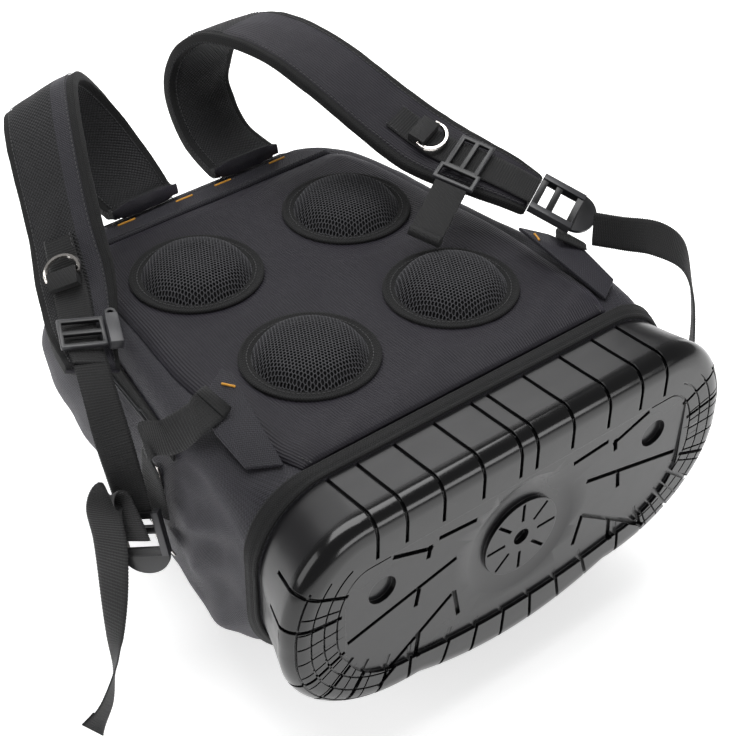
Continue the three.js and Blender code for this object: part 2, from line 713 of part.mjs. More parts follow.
// Where the hardware sits on each strap, as shares of its run, the webbing's shift, and how far the straight
// pieces clear the webbing where it curves.
const webStart = 19; // strap step the webbing starts at
const strapPlaces = {
  left: { ring: 0.765, ringTurn: 0, slider: 0.925, shift: -0.5 * webOffset, ringGap: 2.1, sliderGap: 3 },
  right: { ring: 0.753, ringTurn: Math.PI, slider: 0.855, shift: -0.3 * webOffset, ringGap: 1, sliderGap: 0.5 },
};

for (const side of ["left", "right"]) {
  const run = straps[side];
  const { shift } = strapPlaces[side];
  addMesh(
    `shoulder_pad_${side}`,
    strip(run, { steps: strapSteps, wide: strapWidth, thick: strapThickness, round: 0.3, taper: 0.62 }),
    fabric,
  );
  const webRun = { from: webStart / strapSteps, steps: strapSteps - webStart, lift: padLift, shift };
  addMesh(`strap_webbing_${side}`, strip(run, { ...webRun, wide: webWidth, thick: webThickness }), tape);
}

// A group that stands on a band, with X across it, Y back along it and Z out of it, turned about Z.
function seatOn(run, share, lift, shift, turn = 0) {
  const { at, along, across, out } = run(share);
  const seat = new THREE.Group();
  const x = across.clone().applyAxisAngle(out, turn);
  const y = along.clone().negate().applyAxisAngle(out, turn);
  seat.position.copy(at).addScaledVector(out, lift).addScaledVector(across, shift);
  seat.setRotationFromMatrix(new THREE.Matrix4().makeBasis(x, y, vec().crossVectors(x, y)));
  bag.add(seat);
  return seat;
}

function dRingGeometry() {
  const radius = ringWidth / 2 - ringWire;
  const path = [];
  const arcSteps = 12;
  for (let i = 0; i <= arcSteps; i++) {
    const turn = (Math.PI * i) / arcSteps;
    path.push(vec(radius * Math.cos(turn), radius * (0.25 + 0.85 * Math.sin(turn)), 0));
  }
  path.push(vec(-radius, 0, 0), vec(-radius / 3, 0, 0), vec(radius / 3, 0, 0), vec(radius, 0, 0));
  return wireLoop(path, ringWire, 6);
}
const topOfWeb = strapThickness / 2 + webGap + webThickness;
for (const side of ["left", "right"]) {
  const { ring, ringTurn, shift, ringGap } = strapPlaces[side];
  const lift = topOfWeb + ringGap + keeperHeight / 2;
  const seat = seatOn(straps[side], ring, lift, shift, ringTurn);
  addMesh(`d_ring_${side}`, dRingGeometry(), chrome, seat);
  const keeperWide = ringWidth - 4 * ringWire - 2 * seamGap;
  const keeper = cut(boxAt(keeperWide, keeperLength, keeperHeight, 0, ringWire + 1.4 - keeperLength / 2, 0), [
    barAlong("x", ringWire + boreClearance, ringWidth, vec(0, 0, 0), 12),
  ]);
  addMesh(`ring_keeper_${side}`, keeper, tape, seat);
}

// Chest strap sliders: a flat frame with two slots over the strap's webbing.
const sliderWide = webWidth + 2 * sliderRail;
function sliderFrame() {
  const slot = (sliderLength - 3 * sliderRail) / 2;
  const frame = boxAt(sliderWide, sliderLength, sliderThickness, 0, 0, 0);
  const slots = [-1, 1].map((s) =>
    boxAt(webWidth + 0.6, slot, 2 * sliderThickness, 0, (s * (slot + sliderRail)) / 2, 0),
  );
  return { frame, slots };
}
function sliderSeat(side) {
  const { slider, shift, sliderGap } = strapPlaces[side];
  return seatOn(straps[side], slider, topOfWeb + sliderGap + sliderThickness / 2, shift);
}
{
  const { frame, slots } = sliderFrame();
  const seat = sliderSeat("right");
  const reach = -sliderWide / 2 - loopDepth / 2;
  const loop = boxAt(loopDepth + 2, webWidth + 2 * sliderRail, sliderThickness, reach + 1, 0, 0);
  const window = boxAt(loopDepth - sliderRail, webWidth + 1, 2 * sliderThickness, reach + 1, 0, 0);
  const body = geometryOf(solidOf(frame).add(solidOf(loop)).subtract(joined([...slots, window])));
  addMesh("chest_slider_right", body, buckle, seat);
  // Chest webbing from that loop to its rolled end.
  const hang = new THREE.Group();
  hang.position.x = -sliderWide / 2 - loopDepth - seamGap - webThickness / 2;
  hang.rotation.y = -chestWebFall;
  seat.add(hang);
  const web = boxAt(chestWebLength, webWidth, webThickness, -chestWebLength / 2, 0, 0);
  const roll = barAlong("y", chestRollRadius, webWidth, vec(-chestWebLength, 0, 0), 12);
  addMesh("chest_webbing", geometryOf(joined([web, roll])), tape, hang);
}
{
  const { frame, slots } = sliderFrame();
  const seat = sliderSeat("left");
  addMesh("chest_slider_left", cut(frame, slots), buckle, seat);
  // The chest strap's hook: a bar with an eye at its end, along the slider's inner rail.
  const x = (sliderWide + hookWidth) / 2 + seamGap;
  const eyeAt = vec(x, hookLength - eyeRadius, hookRise);
  const eye = barAlong("z", eyeRadius, 0.6 * hookThickness, eyeAt, 14);
  const hole = barAlong("z", 0.45 * eyeRadius, 2 * hookThickness, eyeAt, 12);
  const barLength = hookLength - 1.5 * eyeRadius;
  const bar = boxAt(hookWidth, barLength, hookThickness, x, barLength / 2, hookRise);
  const hook = geometryOf(joined([bar, eye]).subtract(solidOf(hole))).translate(0, -hookDrop, 0);
  addMesh("chest_hook", hook, buckle, seat);
}

// Ladder locks: two rails with bars between them, and a rounded lip to pull on.
const lockWide = webWidth + 2 * lockRail;
function ladderLockGeometry() {
  const rails = [-1, 1].map((s) =>
    boxAt(lockRail, lockLength, lockDepth, (s * (lockWide - lockRail)) / 2, lockLength / 2, 0),
  );
  const bars = [0.5, 0.42 * (lockLength / lockBar), lockLength / lockBar - 0.5].map((n) =>
    boxAt(webWidth + 1, lockBar, 0.6 * lockDepth, 0, n * lockBar, 0),
  );
  const lip = new THREE.Shape();
  lip.moveTo(-lockWide / 2, 0);
  lip.absellipse(0, 0, lockWide / 2, lipReach, Math.PI, 0, true);
  const flap = new THREE.ExtrudeGeometry(lip, { depth: 0.45 * lockDepth, bevelEnabled: false, curveSegments: 10 });
  flap.translate(0, lockLength - 1, -0.1 * lockDepth);
  return geometryOf(joined([...rails, ...bars, flap]));
}

// Stations of free webbing: x, y and z as shares of the panel's half width, its length and the body's depth.
const webStation = ({ x, along, z, yaw, pitch }) => {
  const { across } = station({ x: 0, along: 0, up: 0, yaw, pitch });
  return { at: vec(x * panelHalfWidth, along * panelLength, z * bodyDepth), across };
};

// The left strap's webbing leaves the pad and hangs over the bag's side to its lock.
const padEnd = straps.left(1);
const dropStart = {
  at: padEnd.at
    .clone()
    .addScaledVector(padEnd.out, padLift)
    .addScaledVector(padEnd.across, strapPlaces.left.shift)
    .addScaledVector(padEnd.along, 6 * seamGap),
  across: padEnd.across,
};
const leftDrop = band([
  dropStart,
  ...[
    { x: -1.09, along: 0.52, z: -0.06, yaw: -20, pitch: -14 },
    { x: -1.115, along: 0.475, z: -0.15, yaw: -30, pitch: -5 },
    { x: -1.12, along: 0.445, z: -0.28, yaw: -42, pitch: 3 },
    { x: -1.12, along: 0.425, z: -0.4, yaw: -50, pitch: 4 },
  ].map(webStation),
]);
addMesh("strap_drop_left", strip(leftDrop, { steps: 8, wide: webWidth, thick: webThickness }), tape);
const lockSeats = {
  left: seatOn(leftDrop, 1, 0, 0, Math.PI),
  right: seatOn(straps.right, 1, padLift, strapPlaces.right.shift, Math.PI),
};
for (const [side, seat] of Object.entries(lockSeats)) {
  const clear = new THREE.Group();
  clear.position.y = seamGap;
  seat.add(clear);
  addMesh(`ladder_lock_${side}`, ladderLockGeometry(), buckle, clear);
}

const bandsOfWebbing = {
  lower_webbing_left: [
    { x: -0.825, along: 0.345, z: 0.084, yaw: -140, pitch: -22 },
    { x: -0.92, along: 0.342, z: 0.05, yaw: -130, pitch: -38 },
    { x: -1.0, along: 0.375, z: -0.045, yaw: -88, pitch: -54 },
    { x: -1.045, along: 0.418, z: -0.1, yaw: -100, pitch: -58 },
    { x: -1.035, along: 0.425, z: -0.21, yaw: -95, pitch: -40 },
    { x: -1.035, along: 0.42, z: -0.34, yaw: -82, pitch: -16 },
    { x: -1.04, along: 0.418, z: -0.44, yaw: -72, pitch: 0 },
  ],
  lower_webbing_right: [
    { x: 0.86, along: 0.32, z: 0.055, yaw: -40, pitch: -22 },
    { x: 0.893, along: 0.336, z: 0.045, yaw: -40, pitch: -24 },
    { x: 0.935, along: 0.353, z: 0.02, yaw: -42, pitch: -28 },
  ],
  free_end_left: [
    { x: -1.157, along: 0.4075, z: -0.49, yaw: -50, pitch: 4 },
    { x: -1.18, along: 0.415, z: -0.38, yaw: -48, pitch: 4 },
    { x: -1.205, along: 0.43, z: -0.29, yaw: -46, pitch: 4 },
    { x: -1.24, along: 0.43, z: -0.34, yaw: -46, pitch: 2 },
    { x: -1.235, along: 0.427, z: -0.49, yaw: -52, pitch: -2 },
    { x: -1.25, along: 0.423, z: -0.69, yaw: -66, pitch: 2 },
    { x: -1.3, along: 0.398, z: -0.86, yaw: -88, pitch: 16 },
    { x: -1.35, along: 0.365, z: -0.93, yaw: -112, pitch: 34 },
    { x: -1.44, along: 0.328, z: -0.995, yaw: -145, pitch: 32 },
    { x: -1.54, along: 0.31, z: -1.05, yaw: -170, pitch: 18 },
  ],
  free_end_right: [
    { x: 0.985, along: 0.322, z: 0.07, yaw: 60, pitch: 60 },
    { x: 1.02, along: 0.265, z: 0.1, yaw: 48, pitch: 66 },
    { x: 1.085, along: 0.21, z: 0.115, yaw: 32, pitch: 46 },
    { x: 1.18, along: 0.18, z: 0.04, yaw: 42, pitch: 22 },
    { x: 1.23, along: 0.165, z: -0.11, yaw: 49, pitch: 1 },
    { x: 1.24, along: 0.15, z: -0.29, yaw: 48, pitch: -10 },
    { x: 1.23, along: 0.14, z: -0.475, yaw: 55, pitch: -10 },
    { x: 1.22, along: 0.135, z: -0.65, yaw: 62, pitch: -6 },
  ],
};
for (const [name, rows] of Object.entries(bandsOfWebbing))
  addMesh(
    name,
    strip(band(rows.map(webStation)), { steps: 2 * (rows.length - 1), wide: webWidth, thick: webThickness }),
    tape,
  );

// Wings: gussets that stand up from the panel's sides and hold the lower webbing. Corners go round from the
// ridge's foot, over the webbing's end, to the ridge's tip; z is above the panel, as a share of the body's depth.
const wingThickness = 3;
const wingCorners = [
  { x: 0.785, along: 0.193, z: 0.012 },
  { x: 0.9, along: 0.225, z: 0.012 },
  { x: 0.905, along: 0.305, z: 0.055 },
  { x: 0.86, along: 0.38, z: 0.065 },
  { x: 0.73, along: 0.4, z: 0.125 },
  { x: 0.72, along: 0.375, z: 0.13 },
];
for (const [side, sign] of [["left", -1], ["right", 1]]) {
  const corners = wingCorners.map(({ x, along, z }) => {
    const y = along * panelLength;
    return vec(sign * x * panelHalfWidth, y, panelHeight(y) + z * bodyDepth);
  });
  const [foot, , outer, , tip] = corners;
  const normal = vec().crossVectors(vec().subVectors(outer, foot), vec().subVectors(tip, foot)).normalize();
  const face = (by) => corners.map((p) => p.clone().addScaledVector(normal, by));
  addMesh(`wing_${side}`, loft([face(-wingThickness / 2), face(wingThickness / 2)]), fabric);
}

// Chrome tape clip, riveted flat at its top and standing off the bag's left side below, with a hooked end.
function clipGeometry() {
  const bend = 0.12 * clipLength;
  const curl = 0.16 * clipLength;
  const run = [
    [0, 0],
    [0, -clipPlate],
    [clipStandOff, -clipPlate - bend],
    [clipStandOff, -clipLength + curl],
    [clipStandOff * 0.2, -clipLength],
  ];
  const outline = new THREE.Shape();
  const offset = run.map(([u, v], i) => {
    const [a, b] = [run[Math.max(i - 1, 0)], run[Math.min(i + 1, run.length - 1)]];
    const along = new THREE.Vector2(b[0] - a[0], b[1] - a[1]).normalize();
    return [u - along.y * clipStrip, v + along.x * clipStrip];
  });
  outline.setFromPoints([...run, ...offset.reverse()].map(([u, v]) => new THREE.Vector2(u, v)));
  const strap = new THREE.ExtrudeGeometry(outline, { depth: clipWidth, bevelEnabled: false });
  strap.translate(0, 0, -clipWidth / 2);
  const hole = barAlong("x", rivetRadius + boreClearance, 4 * clipStandOff, vec(0, -clipPlate / 2, 0), 14);
  return cut(strap, [hole]);
}
const clipSeat = new THREE.Group();
const clipAlong = 0.46;
const clipY = clipAlong * panelLength;
const clipTop = -0.3 * bodyDepth;
const clipRow = rowAt(bodySections, "along", (clipY - bodyFoot) / bodySpan);
const clipBack = Math.max(sideReach(clipRow, clipTop), sideReach(clipRow, clipTop - clipPlate));
clipSeat.position.set(-clipBack - seamGap, clipY, clipTop);
clipSeat.setRotationFromMatrix(
  new THREE.Matrix4().makeBasis(vec(-1, 0, 0), vec(0, 0.2, 0.98).normalize(), vec(0, 0.98, -0.2).normalize()),
);
bag.add(clipSeat);
addMesh("tape_clip", clipGeometry(), chrome, clipSeat);
const rivetHead = 1.5 * rivetRadius;
const rivet = joined([
  barAlong("x", rivetRadius, clipStrip + 1.2, vec(clipStrip / 2, -clipPlate / 2, 0), 14),
  barAlong("x", rivetHead, 1.2, vec(clipStrip + seamGap + 0.9, -clipPlate / 2, 0), 14),
]);
addMesh("clip_rivet", geometryOf(rivet), chrome, clipSeat);

// The bag is set down on its front pocket, with the middle of its extent over the origin.
const backpack = new THREE.Group();
backpack.add(bag);
backpack.updateMatrixWorld(true);
const extent = new THREE.Box3().setFromObject(bag, true);
const centre = extent.getCenter(vec());
bag.position.set(-centre.x, -centre.y, -extent.min.z);

export default backpack;
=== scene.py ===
import math

import bmesh
import bpy
import numpy as np
from mathutils import Matrix, Vector, noise
from mathutils.bvhtree import BVHTree


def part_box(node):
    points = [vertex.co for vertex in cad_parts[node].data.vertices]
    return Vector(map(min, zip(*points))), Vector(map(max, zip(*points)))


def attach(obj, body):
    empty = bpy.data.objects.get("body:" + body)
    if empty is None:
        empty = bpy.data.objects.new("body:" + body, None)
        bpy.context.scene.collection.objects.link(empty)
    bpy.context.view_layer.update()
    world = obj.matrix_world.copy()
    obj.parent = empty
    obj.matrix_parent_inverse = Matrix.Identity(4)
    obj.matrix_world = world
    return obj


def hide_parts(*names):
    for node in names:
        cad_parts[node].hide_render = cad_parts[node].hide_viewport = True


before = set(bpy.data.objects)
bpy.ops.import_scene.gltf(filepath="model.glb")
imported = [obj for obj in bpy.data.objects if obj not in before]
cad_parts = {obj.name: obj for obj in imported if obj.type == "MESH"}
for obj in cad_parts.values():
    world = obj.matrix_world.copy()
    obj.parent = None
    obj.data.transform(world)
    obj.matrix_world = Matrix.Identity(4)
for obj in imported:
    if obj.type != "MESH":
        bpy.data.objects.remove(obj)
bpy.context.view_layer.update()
mm = 0.001
trayLow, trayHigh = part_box("base_tray")
# The bag's own frame, in millimetres: X across the back, Y from the sole to the top, Z out of the back.
bagOrigin = np.array([(trayLow[0] + trayHigh[0]) / 2, trayLow[1], trayHigh[2] + 0.32 * mm])
# The scene's metres to the bag's millimetres
toBag = Matrix.Scale(1 / mm, 4) @ Matrix.Translation(-Vector(bagOrigin))


def toRow(points):
    return np.asarray(points, float) * mm + bagOrigin


def unit(v):
    v = np.asarray(v, float)
    return v / max(np.linalg.norm(v), 1e-9)


# Colours and nodes


def hexColor(code):
    parts = [int(code[i : i + 2], 16) / 255 for i in (1, 3, 5)]
    return (*[p / 12.92 if p <= 0.04045 else ((p + 0.055) / 1.055) ** 2.4 for p in parts], 1.0)


def addNode(tree, kind, inputs=None, **settings):
    node = tree.nodes.new(kind)
    for key, value in settings.items():
        setattr(node, key, value)
    for key, value in (inputs or {}).items():
        if isinstance(value, bpy.types.NodeSocket):
            tree.links.new(value, node.inputs[key])
        else:
            node.inputs[key].default_value = value
    return node


# Camera and light

cameraSet = {
    "azimuth": -38.379,
    "elevation": 40.163,
    "roll": 0.537,
    "focal": 1698,  # in pixels of a picture 742 wide
    "place": (-578.7, -564.1, 732.9),
}
photoWidth = 742


def makeCamera():
    a, e, r = (math.radians(cameraSet[key]) for key in ("azimuth", "elevation", "roll"))
    forward = np.array([-math.sin(a) * math.cos(e), math.cos(a) * math.cos(e), -math.sin(e)])
    level = np.array([math.cos(a), math.sin(a), 0])
    upright = np.cross(level, forward)
    right = math.cos(r) * level + math.sin(r) * upright
    up = -math.sin(r) * level + math.cos(r) * upright
    data = bpy.data.cameras.new("photoCamera")
    data.sensor_width = 36
    data.sensor_fit = "HORIZONTAL"
    data.lens = cameraSet["focal"] / photoWidth * data.sensor_width
    data.clip_end = 20
    camera = bpy.data.objects.new("photoCamera", data)
    bpy.context.collection.objects.link(camera)
    turn = Matrix([right, up, -forward]).transposed().to_4x4()
    camera.matrix_world = Matrix.Translation(toRow(cameraSet["place"])) @ turn
    bpy.context.scene.camera = camera


makeCamera()

lightSet = {
    "sky": 0.22,
    "softboxes": [
        {"name": "topBox", "at": (0.1, 0.25, 2.1), "size": (1.9, 1.5), "watts": 38},
        {"name": "backBox", "at": (0.5, 1.7, 1.2), "size": (2.2, 0.9), "watts": 15},
        {"name": "leftBox", "at": (-1.8, 0.2, 1.1), "size": (1.2, 1.2), "watts": 9},
        {"name": "frontBox", "at": (0.5, -2.0, 0.7), "size": (1.6, 0.5), "watts": 9},
    ],
}


def makeLights():
    world = bpy.data.worlds.new("paleStudio")
    bpy.context.scene.world = world
    world.use_nodes = True
    world.node_tree.nodes["Background"].inputs["Color"].default_value = (1, 1, 1, 1)
    world.node_tree.nodes["Background"].inputs["Strength"].default_value = lightSet["sky"]
    # The backdrop is plain white to the eye, and only a dim part of it lights the bag.
    tree = world.node_tree
    seen = addNode(tree, "ShaderNodeLightPath").outputs["Is Camera Ray"]
    white = addNode(tree, "ShaderNodeBackground", {"Color": (1, 1, 1, 1), "Strength": 1.0})
    dim = tree.nodes["Background"].outputs[0]
    both = addNode(tree, "ShaderNodeMixShader", {0: seen, 1: dim, 2: white.outputs[0]})
    tree.links.new(both.outputs[0], tree.nodes["World Output"].inputs["Surface"])
    for box in lightSet["softboxes"]:
        data = bpy.data.lights.new(box["name"], "AREA")
        data.shape = "RECTANGLE"
        data.size, data.size_y = box["size"]
        data.energy = box["watts"]
        lamp = bpy.data.objects.new(box["name"], data)
        bpy.context.collection.objects.link(lamp)
        lamp.location = box["at"]
        aim = Vector((0, 0, 0.15)) - Vector(box["at"])
        lamp.rotation_euler = aim.to_track_quat("-Z", "Y").to_euler()


makeLights()
bpy.context.scene.view_settings.view_transform = "Standard"
print("camera and lights")

# Materials


waveScale = 0.31416  # a wave texture's scale for a period of one unit


def newMaterial(name, **shader):
    material = bpy.data.materials.new(name)
    material.use_nodes = True
    tree = material.node_tree
    tree.nodes.clear()
    surface = addNode(tree, "ShaderNodeBsdfPrincipled", shader)
    addNode(tree, "ShaderNodeOutputMaterial", {"Surface": surface.outputs["BSDF"]})
    return material, tree, surface


def mathNode(tree, operation, *values):
    return addNode(tree, "ShaderNodeMath", dict(enumerate(values)), operation=operation).outputs[0]


def noiseNode(tree, place, scale, detail):
    look = {"Vector": place, "Scale": scale, "Detail": detail}
    return addNode(tree, "ShaderNodeTexNoise", look).outputs["Fac"]


def mixNode(tree, share, first, second):
    colors = {"Factor": share, 6: first, 7: second}
    return addNode(tree, "ShaderNodeMix", colors, data_type="RGBA").outputs[2]


def dress(tree, surface, color, rough, height, strength, depth, under=None):
    # A surface's colour, its roughness and its relief, which is depth millimetres high over the one under it.
    relief = {"Height": height, "Strength": strength, "Distance": depth * mm}
    if under:
        relief["Normal"] = under
    bump = addNode(tree, "ShaderNodeBump", relief)
    tree.links.new(color, surface.inputs["Base Color"])
    tree.links.new(rough, surface.inputs["Roughness"])
    tree.links.new(bump.outputs["Normal"], surface.inputs["Normal"])


def wovenCloth(name):
    # Woven polyester: matt threads with a soft sheen at a low angle. The colour is painted paler where a thread
    # stands up, a painted highlight on each crown, and darker between the threads as painted shade.
    spec = clothSet[name]
    sheen = {
        "Sheen Weight": spec["sheen"],
        "Sheen Roughness": 0.45,
        "Sheen Tint": hexColor(spec["sheenTint"]),
    }
    material, tree, surface = newMaterial(name, **{"IOR": 1.46, "Specular IOR Level": spec["gloss"], **sheen})
    run = addNode(tree, "ShaderNodeUVMap", uv_map="run").outputs["UV"]
    # Each wave has one period in a thread spacing, in the millimetres of the run.
    warp, weft = (
        addNode(
            tree,
            "ShaderNodeTexWave",
            {"Vector": run, "Scale": waveScale / spec[threads], "Distortion": 0.0},
            bands_direction=axis,
            wave_profile="SIN",
        ).outputs["Fac"]
        for threads, axis in (("warp", "X"), ("weft", "Y"))
    )
    both = mathNode(tree, "MULTIPLY", warp, weft)
    notWarp = mathNode(tree, "SUBTRACT", 1.0, warp)
    notWeft = mathNode(tree, "SUBTRACT", 1.0, weft)
    neither = mathNode(tree, "MULTIPLY", notWarp, notWeft)
    checks = mathNode(tree, "ADD", both, neither)
    plain = mathNode(tree, "MULTIPLY", checks, 1 - spec["rib"])
    weave = mathNode(tree, "MULTIPLY_ADD", warp, spec["rib"], plain)
    place = addNode(tree, "ShaderNodeTexCoord").outputs["Object"]
    patches = noiseNode(tree, place, 14.0, 3.0)
    slubs = noiseNode(tree, place, 900.0, 1.0)
    uneven = mathNode(tree, "MULTIPLY", slubs, 0.25)
    # The threads' height also paints the colour: pale is a painted highlight on the thread crowns, and dark is
    # painted shade between the threads and in the holes.
    threadHeightAndCrownLight = mathNode(tree, "MULTIPLY_ADD", weave, 0.75, uneven)
    dark, pale, faded = (hexColor(spec[key]) for key in ("dark", "pale", "faded"))
    tone = mixNode(tree, threadHeightAndCrownLight, dark, pale)
    wear = mathNode(tree, "MULTIPLY", patches, 0.4)
    worn = mixNode(tree, wear, tone, faded)
    rough = mathNode(tree, "MULTIPLY_ADD", patches, 0.18, spec["rough"])
    dress(tree, surface, worn, rough, threadHeightAndCrownLight, spec["bump"], 0.55)
    return material


# Thread spacings are in millimetres. The real cloths have 0.5 to 1 mm, drawn coarser so that they show.
# In each cloth, pale is the painted highlight on the thread crowns and dark is the painted shade between the
# threads.
clothSet = {
    # The body: plain weave, dots of light on each thread
    "wovenPolyester": dict(warp=1.9, weft=1.9, rib=0.25, dark="#030304", pale="#3d3c43", faded="#151418",
                           rough=0.46, bump=1.0, sheen=0.12, sheenTint="#b9b4c6", gloss=0.3),
    # The back panel: finer and ribbed up and down, with a soft purple-grey cast
    "ribbedPolyester": dict(warp=2.1, weft=1.3, rib=0.75, dark="#060508", pale="#2f2d34", faded="#17151a",
                            rough=0.44, bump=0.85, sheen=0.14, sheenTint="#bbb5cb", gloss=0.26),
    # Edge tape and band: matt twill
    "twillTape": dict(warp=1.6, weft=2.0, rib=0.3, dark="#060606", pale="#2a2a2b", faded="#191919",
                      rough=0.7, bump=1.0, sheen=0.1, sheenTint="#bcbcbc", gloss=0.25),
    # Webbing: close cords along it between the real cross ribs
    "polyesterWebbing": dict(warp=2.1, weft=0.95, rib=0.2, dark="#050505", pale="#29292a", faded="#171717",
                             rough=0.5, bump=0.8, sheen=0.1, sheenTint="#c4c4c6", gloss=0.36),
    # Three-layer mesh of the straps: deep holes between thick yarns, with the holes painted dark as shade
    "spacerMesh": dict(warp=3.0, weft=3.0, rib=0.0, dark="#020202", pale="#333335", faded="#111112",
                       rough=0.6, bump=1.6, sheen=0.1, sheenTint="#b5b5ba", gloss=0.3),
    # Threads of the net on the pads
    "knittedNet": dict(warp=0.9, weft=0.9, rib=0.0, dark="#161617", pale="#4a4a4d", faded="#333336",
                       rough=0.55, bump=0.3, sheen=0.15, sheenTint="#c0c0c4", gloss=0.4),
    # Cloth under the net, almost black
    "foamBackingCloth": dict(warp=1.5, weft=1.5, rib=0.0, dark="#050506", pale="#141416", faded="#0d0d0e",
                             rough=0.75, bump=0.5, sheen=0.08, sheenTint="#aaaaaa", gloss=0.2),
}
shellCloth = wovenCloth("wovenPolyester")
panelCloth = wovenCloth("ribbedPolyester")
bindingTape = wovenCloth("twillTape")
webbingWeave = wovenCloth("polyesterWebbing")
spacerCloth = wovenCloth("spacerMesh")
netCloth = wovenCloth("knittedNet")
padCloth = wovenCloth("foamBackingCloth")


def mouldedRubberPlastic():
    # Injection-moulded polypropylene: black, polished where its mould was, with a faint flow ripple.
    shine = {"IOR": 1.5, "Coat Roughness": 0.08, "Coat Weight": 0.15}
    material, tree, surface = newMaterial("mouldedPolypropylene", **shine)
    place = addNode(tree, "ShaderNodeTexCoord").outputs["Object"]
    flow = noiseNode(tree, place, 26.0, 2.0)
    grain = noiseNode(tree, place, 700.0, 2.0)
    polish = addNode(tree, "ShaderNodeAttribute", attribute_name="polish").outputs["Fac"]
    tone = mixNode(tree, polish, hexColor("#100f12"), hexColor("#050506"))
    dull = mathNode(tree, "MULTIPLY_ADD", flow, 0.12, 0.34)
    rough = mathNode(tree, "MULTIPLY_ADD", polish, -0.24, dull)
    edge = addNode(tree, "ShaderNodeBevel", {"Radius": 0.8 * mm}, samples=4).outputs["Normal"]
    ripple = addNode(
        tree, "ShaderNodeBump", {"Height": flow, "Strength": 0.25, "Distance": 1.2 * mm, "Normal": edge}
    ).outputs["Normal"]
    dress(tree, surface, tone, rough, grain, 0.06, 0.1, under=ripple)
    return material


def satinNylon():
    # Moulded nylon buckle: dark grey, satin, slightly paler on worn edges.
    material, tree, surface = newMaterial("mouldedNylon", **{"IOR": 1.53})
    place = addNode(tree, "ShaderNodeTexCoord").outputs["Object"]
    grain = noiseNode(tree, place, 1300.0, 2.0)
    cloud = noiseNode(tree, place, 120.0, 2.0)
    edge = addNode(tree, "ShaderNodeNewGeometry").outputs["Pointiness"]
    rub = addNode(
        tree, "ShaderNodeMapRange", {"Value": edge, "From Min": 0.5, "From Max": 0.58}
    ).outputs["Result"]
    base = mixNode(tree, cloud, hexColor("#0b0b0c"), hexColor("#161618"))
    tone = mixNode(tree, rub, base, hexColor("#3a3a3d"))
    rough = mathNode(tree, "MULTIPLY_ADD", cloud, 0.14, 0.3)
    dress(tree, surface, tone, rough, grain, 0.12, 0.1)
    return material


threadShine = {"IOR": 1.53, "Sheen Weight": 0.2, "Sheen Roughness": 0.4}
drawnSet = {
    # Nickel-plated wire and strip: a mirror with faint draw marks
    "platedSteel": dict(shine={"Metallic": 1.0}, scale=260.0, detail=3.0, dark="#d8d2cc", pale="#f3efeb",
                        rough=0.06, spread=0.14, bump=0.05),
    # Bonded nylon thread: twisted, with a slight shine
    "yellowThread": dict(shine=threadShine, scale=1500.0, detail=2.0, dark="#a86f0c", pale="#e0a22a",
                         rough=0.4, spread=0.2, bump=0.3),
    "blackThread": dict(shine=threadShine, scale=1500.0, detail=2.0, dark="#101011", pale="#38383a",
                        rough=0.4, spread=0.2, bump=0.3),
}


def drawnFinish(name):
    # Drawn wire or twisted thread: fine marks that shift its colour, roughness and surface together.
    spec = drawnSet[name]
    material, tree, surface = newMaterial(name, **spec["shine"])
    place = addNode(tree, "ShaderNodeTexCoord").outputs["Object"]
    marks = noiseNode(tree, place, spec["scale"], spec["detail"])
    tone = mixNode(tree, marks, hexColor(spec["dark"]), hexColor(spec["pale"]))
    rough = mathNode(tree, "MULTIPLY_ADD", marks, spec["spread"], spec["rough"])
    dress(tree, surface, tone, rough, marks, spec["bump"], 0.2)
    return material


trayPlastic = mouldedRubberPlastic()
nylon = satinNylon()
steel = drawnFinish("platedSteel")
yellowThread = drawnFinish("yellowThread")
blackThread = drawnFinish("blackThread")
print("materials")

# Shared makers


def linkObject(name, mesh):
    piece = bpy.data.objects.new(name, mesh)
    bpy.context.collection.objects.link(piece)
    return piece


def faceOut(mesh):
    work = bmesh.new()
    work.from_mesh(mesh)
    if work.calc_volume(signed=True) < 0:
        bmesh.ops.reverse_faces(work, faces=work.faces)
    work.to_mesh(mesh)
    work.free()


def loftMesh(name, sections, materials, faceSlots=None):
    # A closed body through sections of equal length, in millimetres of the bag's frame,
    # with a UV map in them.
    sections = np.asarray(sections, float)
    m, n, _ = sections.shape
    r, i = np.meshgrid(np.arange(m - 1), np.arange(n), indexing="ij")
    j = (i + 1) % n
    quads = np.stack([r * n + i, r * n + j, (r + 1) * n + j, (r + 1) * n + i], -1).reshape(-1, 4)
    mesh = bpy.data.meshes.new(name)
    caps = [tuple(range(n))[::-1], tuple((m - 1) * n + k for k in range(n))]
    mesh.from_pydata(toRow(sections.reshape(-1, 3)).tolist(), [], quads.tolist() + caps)
    stepsAround = np.linalg.norm(np.roll(sections, -1, 1) - sections, axis=2).mean(0)
    around = np.concatenate([[0], np.cumsum(stepsAround)])
    along = np.concatenate([[0], np.cumsum(np.linalg.norm(np.diff(sections, axis=0), axis=2).mean(1))])
    u = np.stack([around[i], around[i + 1], around[i + 1], around[i]], -1).reshape(-1)
    v = np.stack([along[r], along[r], along[r + 1], along[r + 1]], -1).reshape(-1)
    capUv = np.zeros((2 * n, 2))
    capUv[:, 0] = np.tile(around[:n], 2)
    run = mesh.uv_layers.new(name="run")
    run.data.foreach_set("uv", np.concatenate([np.stack([u, v], -1), capUv]).ravel())
    for material in materials:
        mesh.materials.append(material)
    slots = np.zeros(len(mesh.polygons), np.int32)
    if faceSlots is not None:
        slots[: len(quads)] = np.broadcast_to(faceSlots, (m - 1, n)).reshape(-1)
    mesh.polygons.foreach_set("material_index", slots)
    mesh.polygons.foreach_set("use_smooth", np.ones(len(mesh.polygons), bool))
    mesh.update()
    faceOut(mesh)
    return mesh


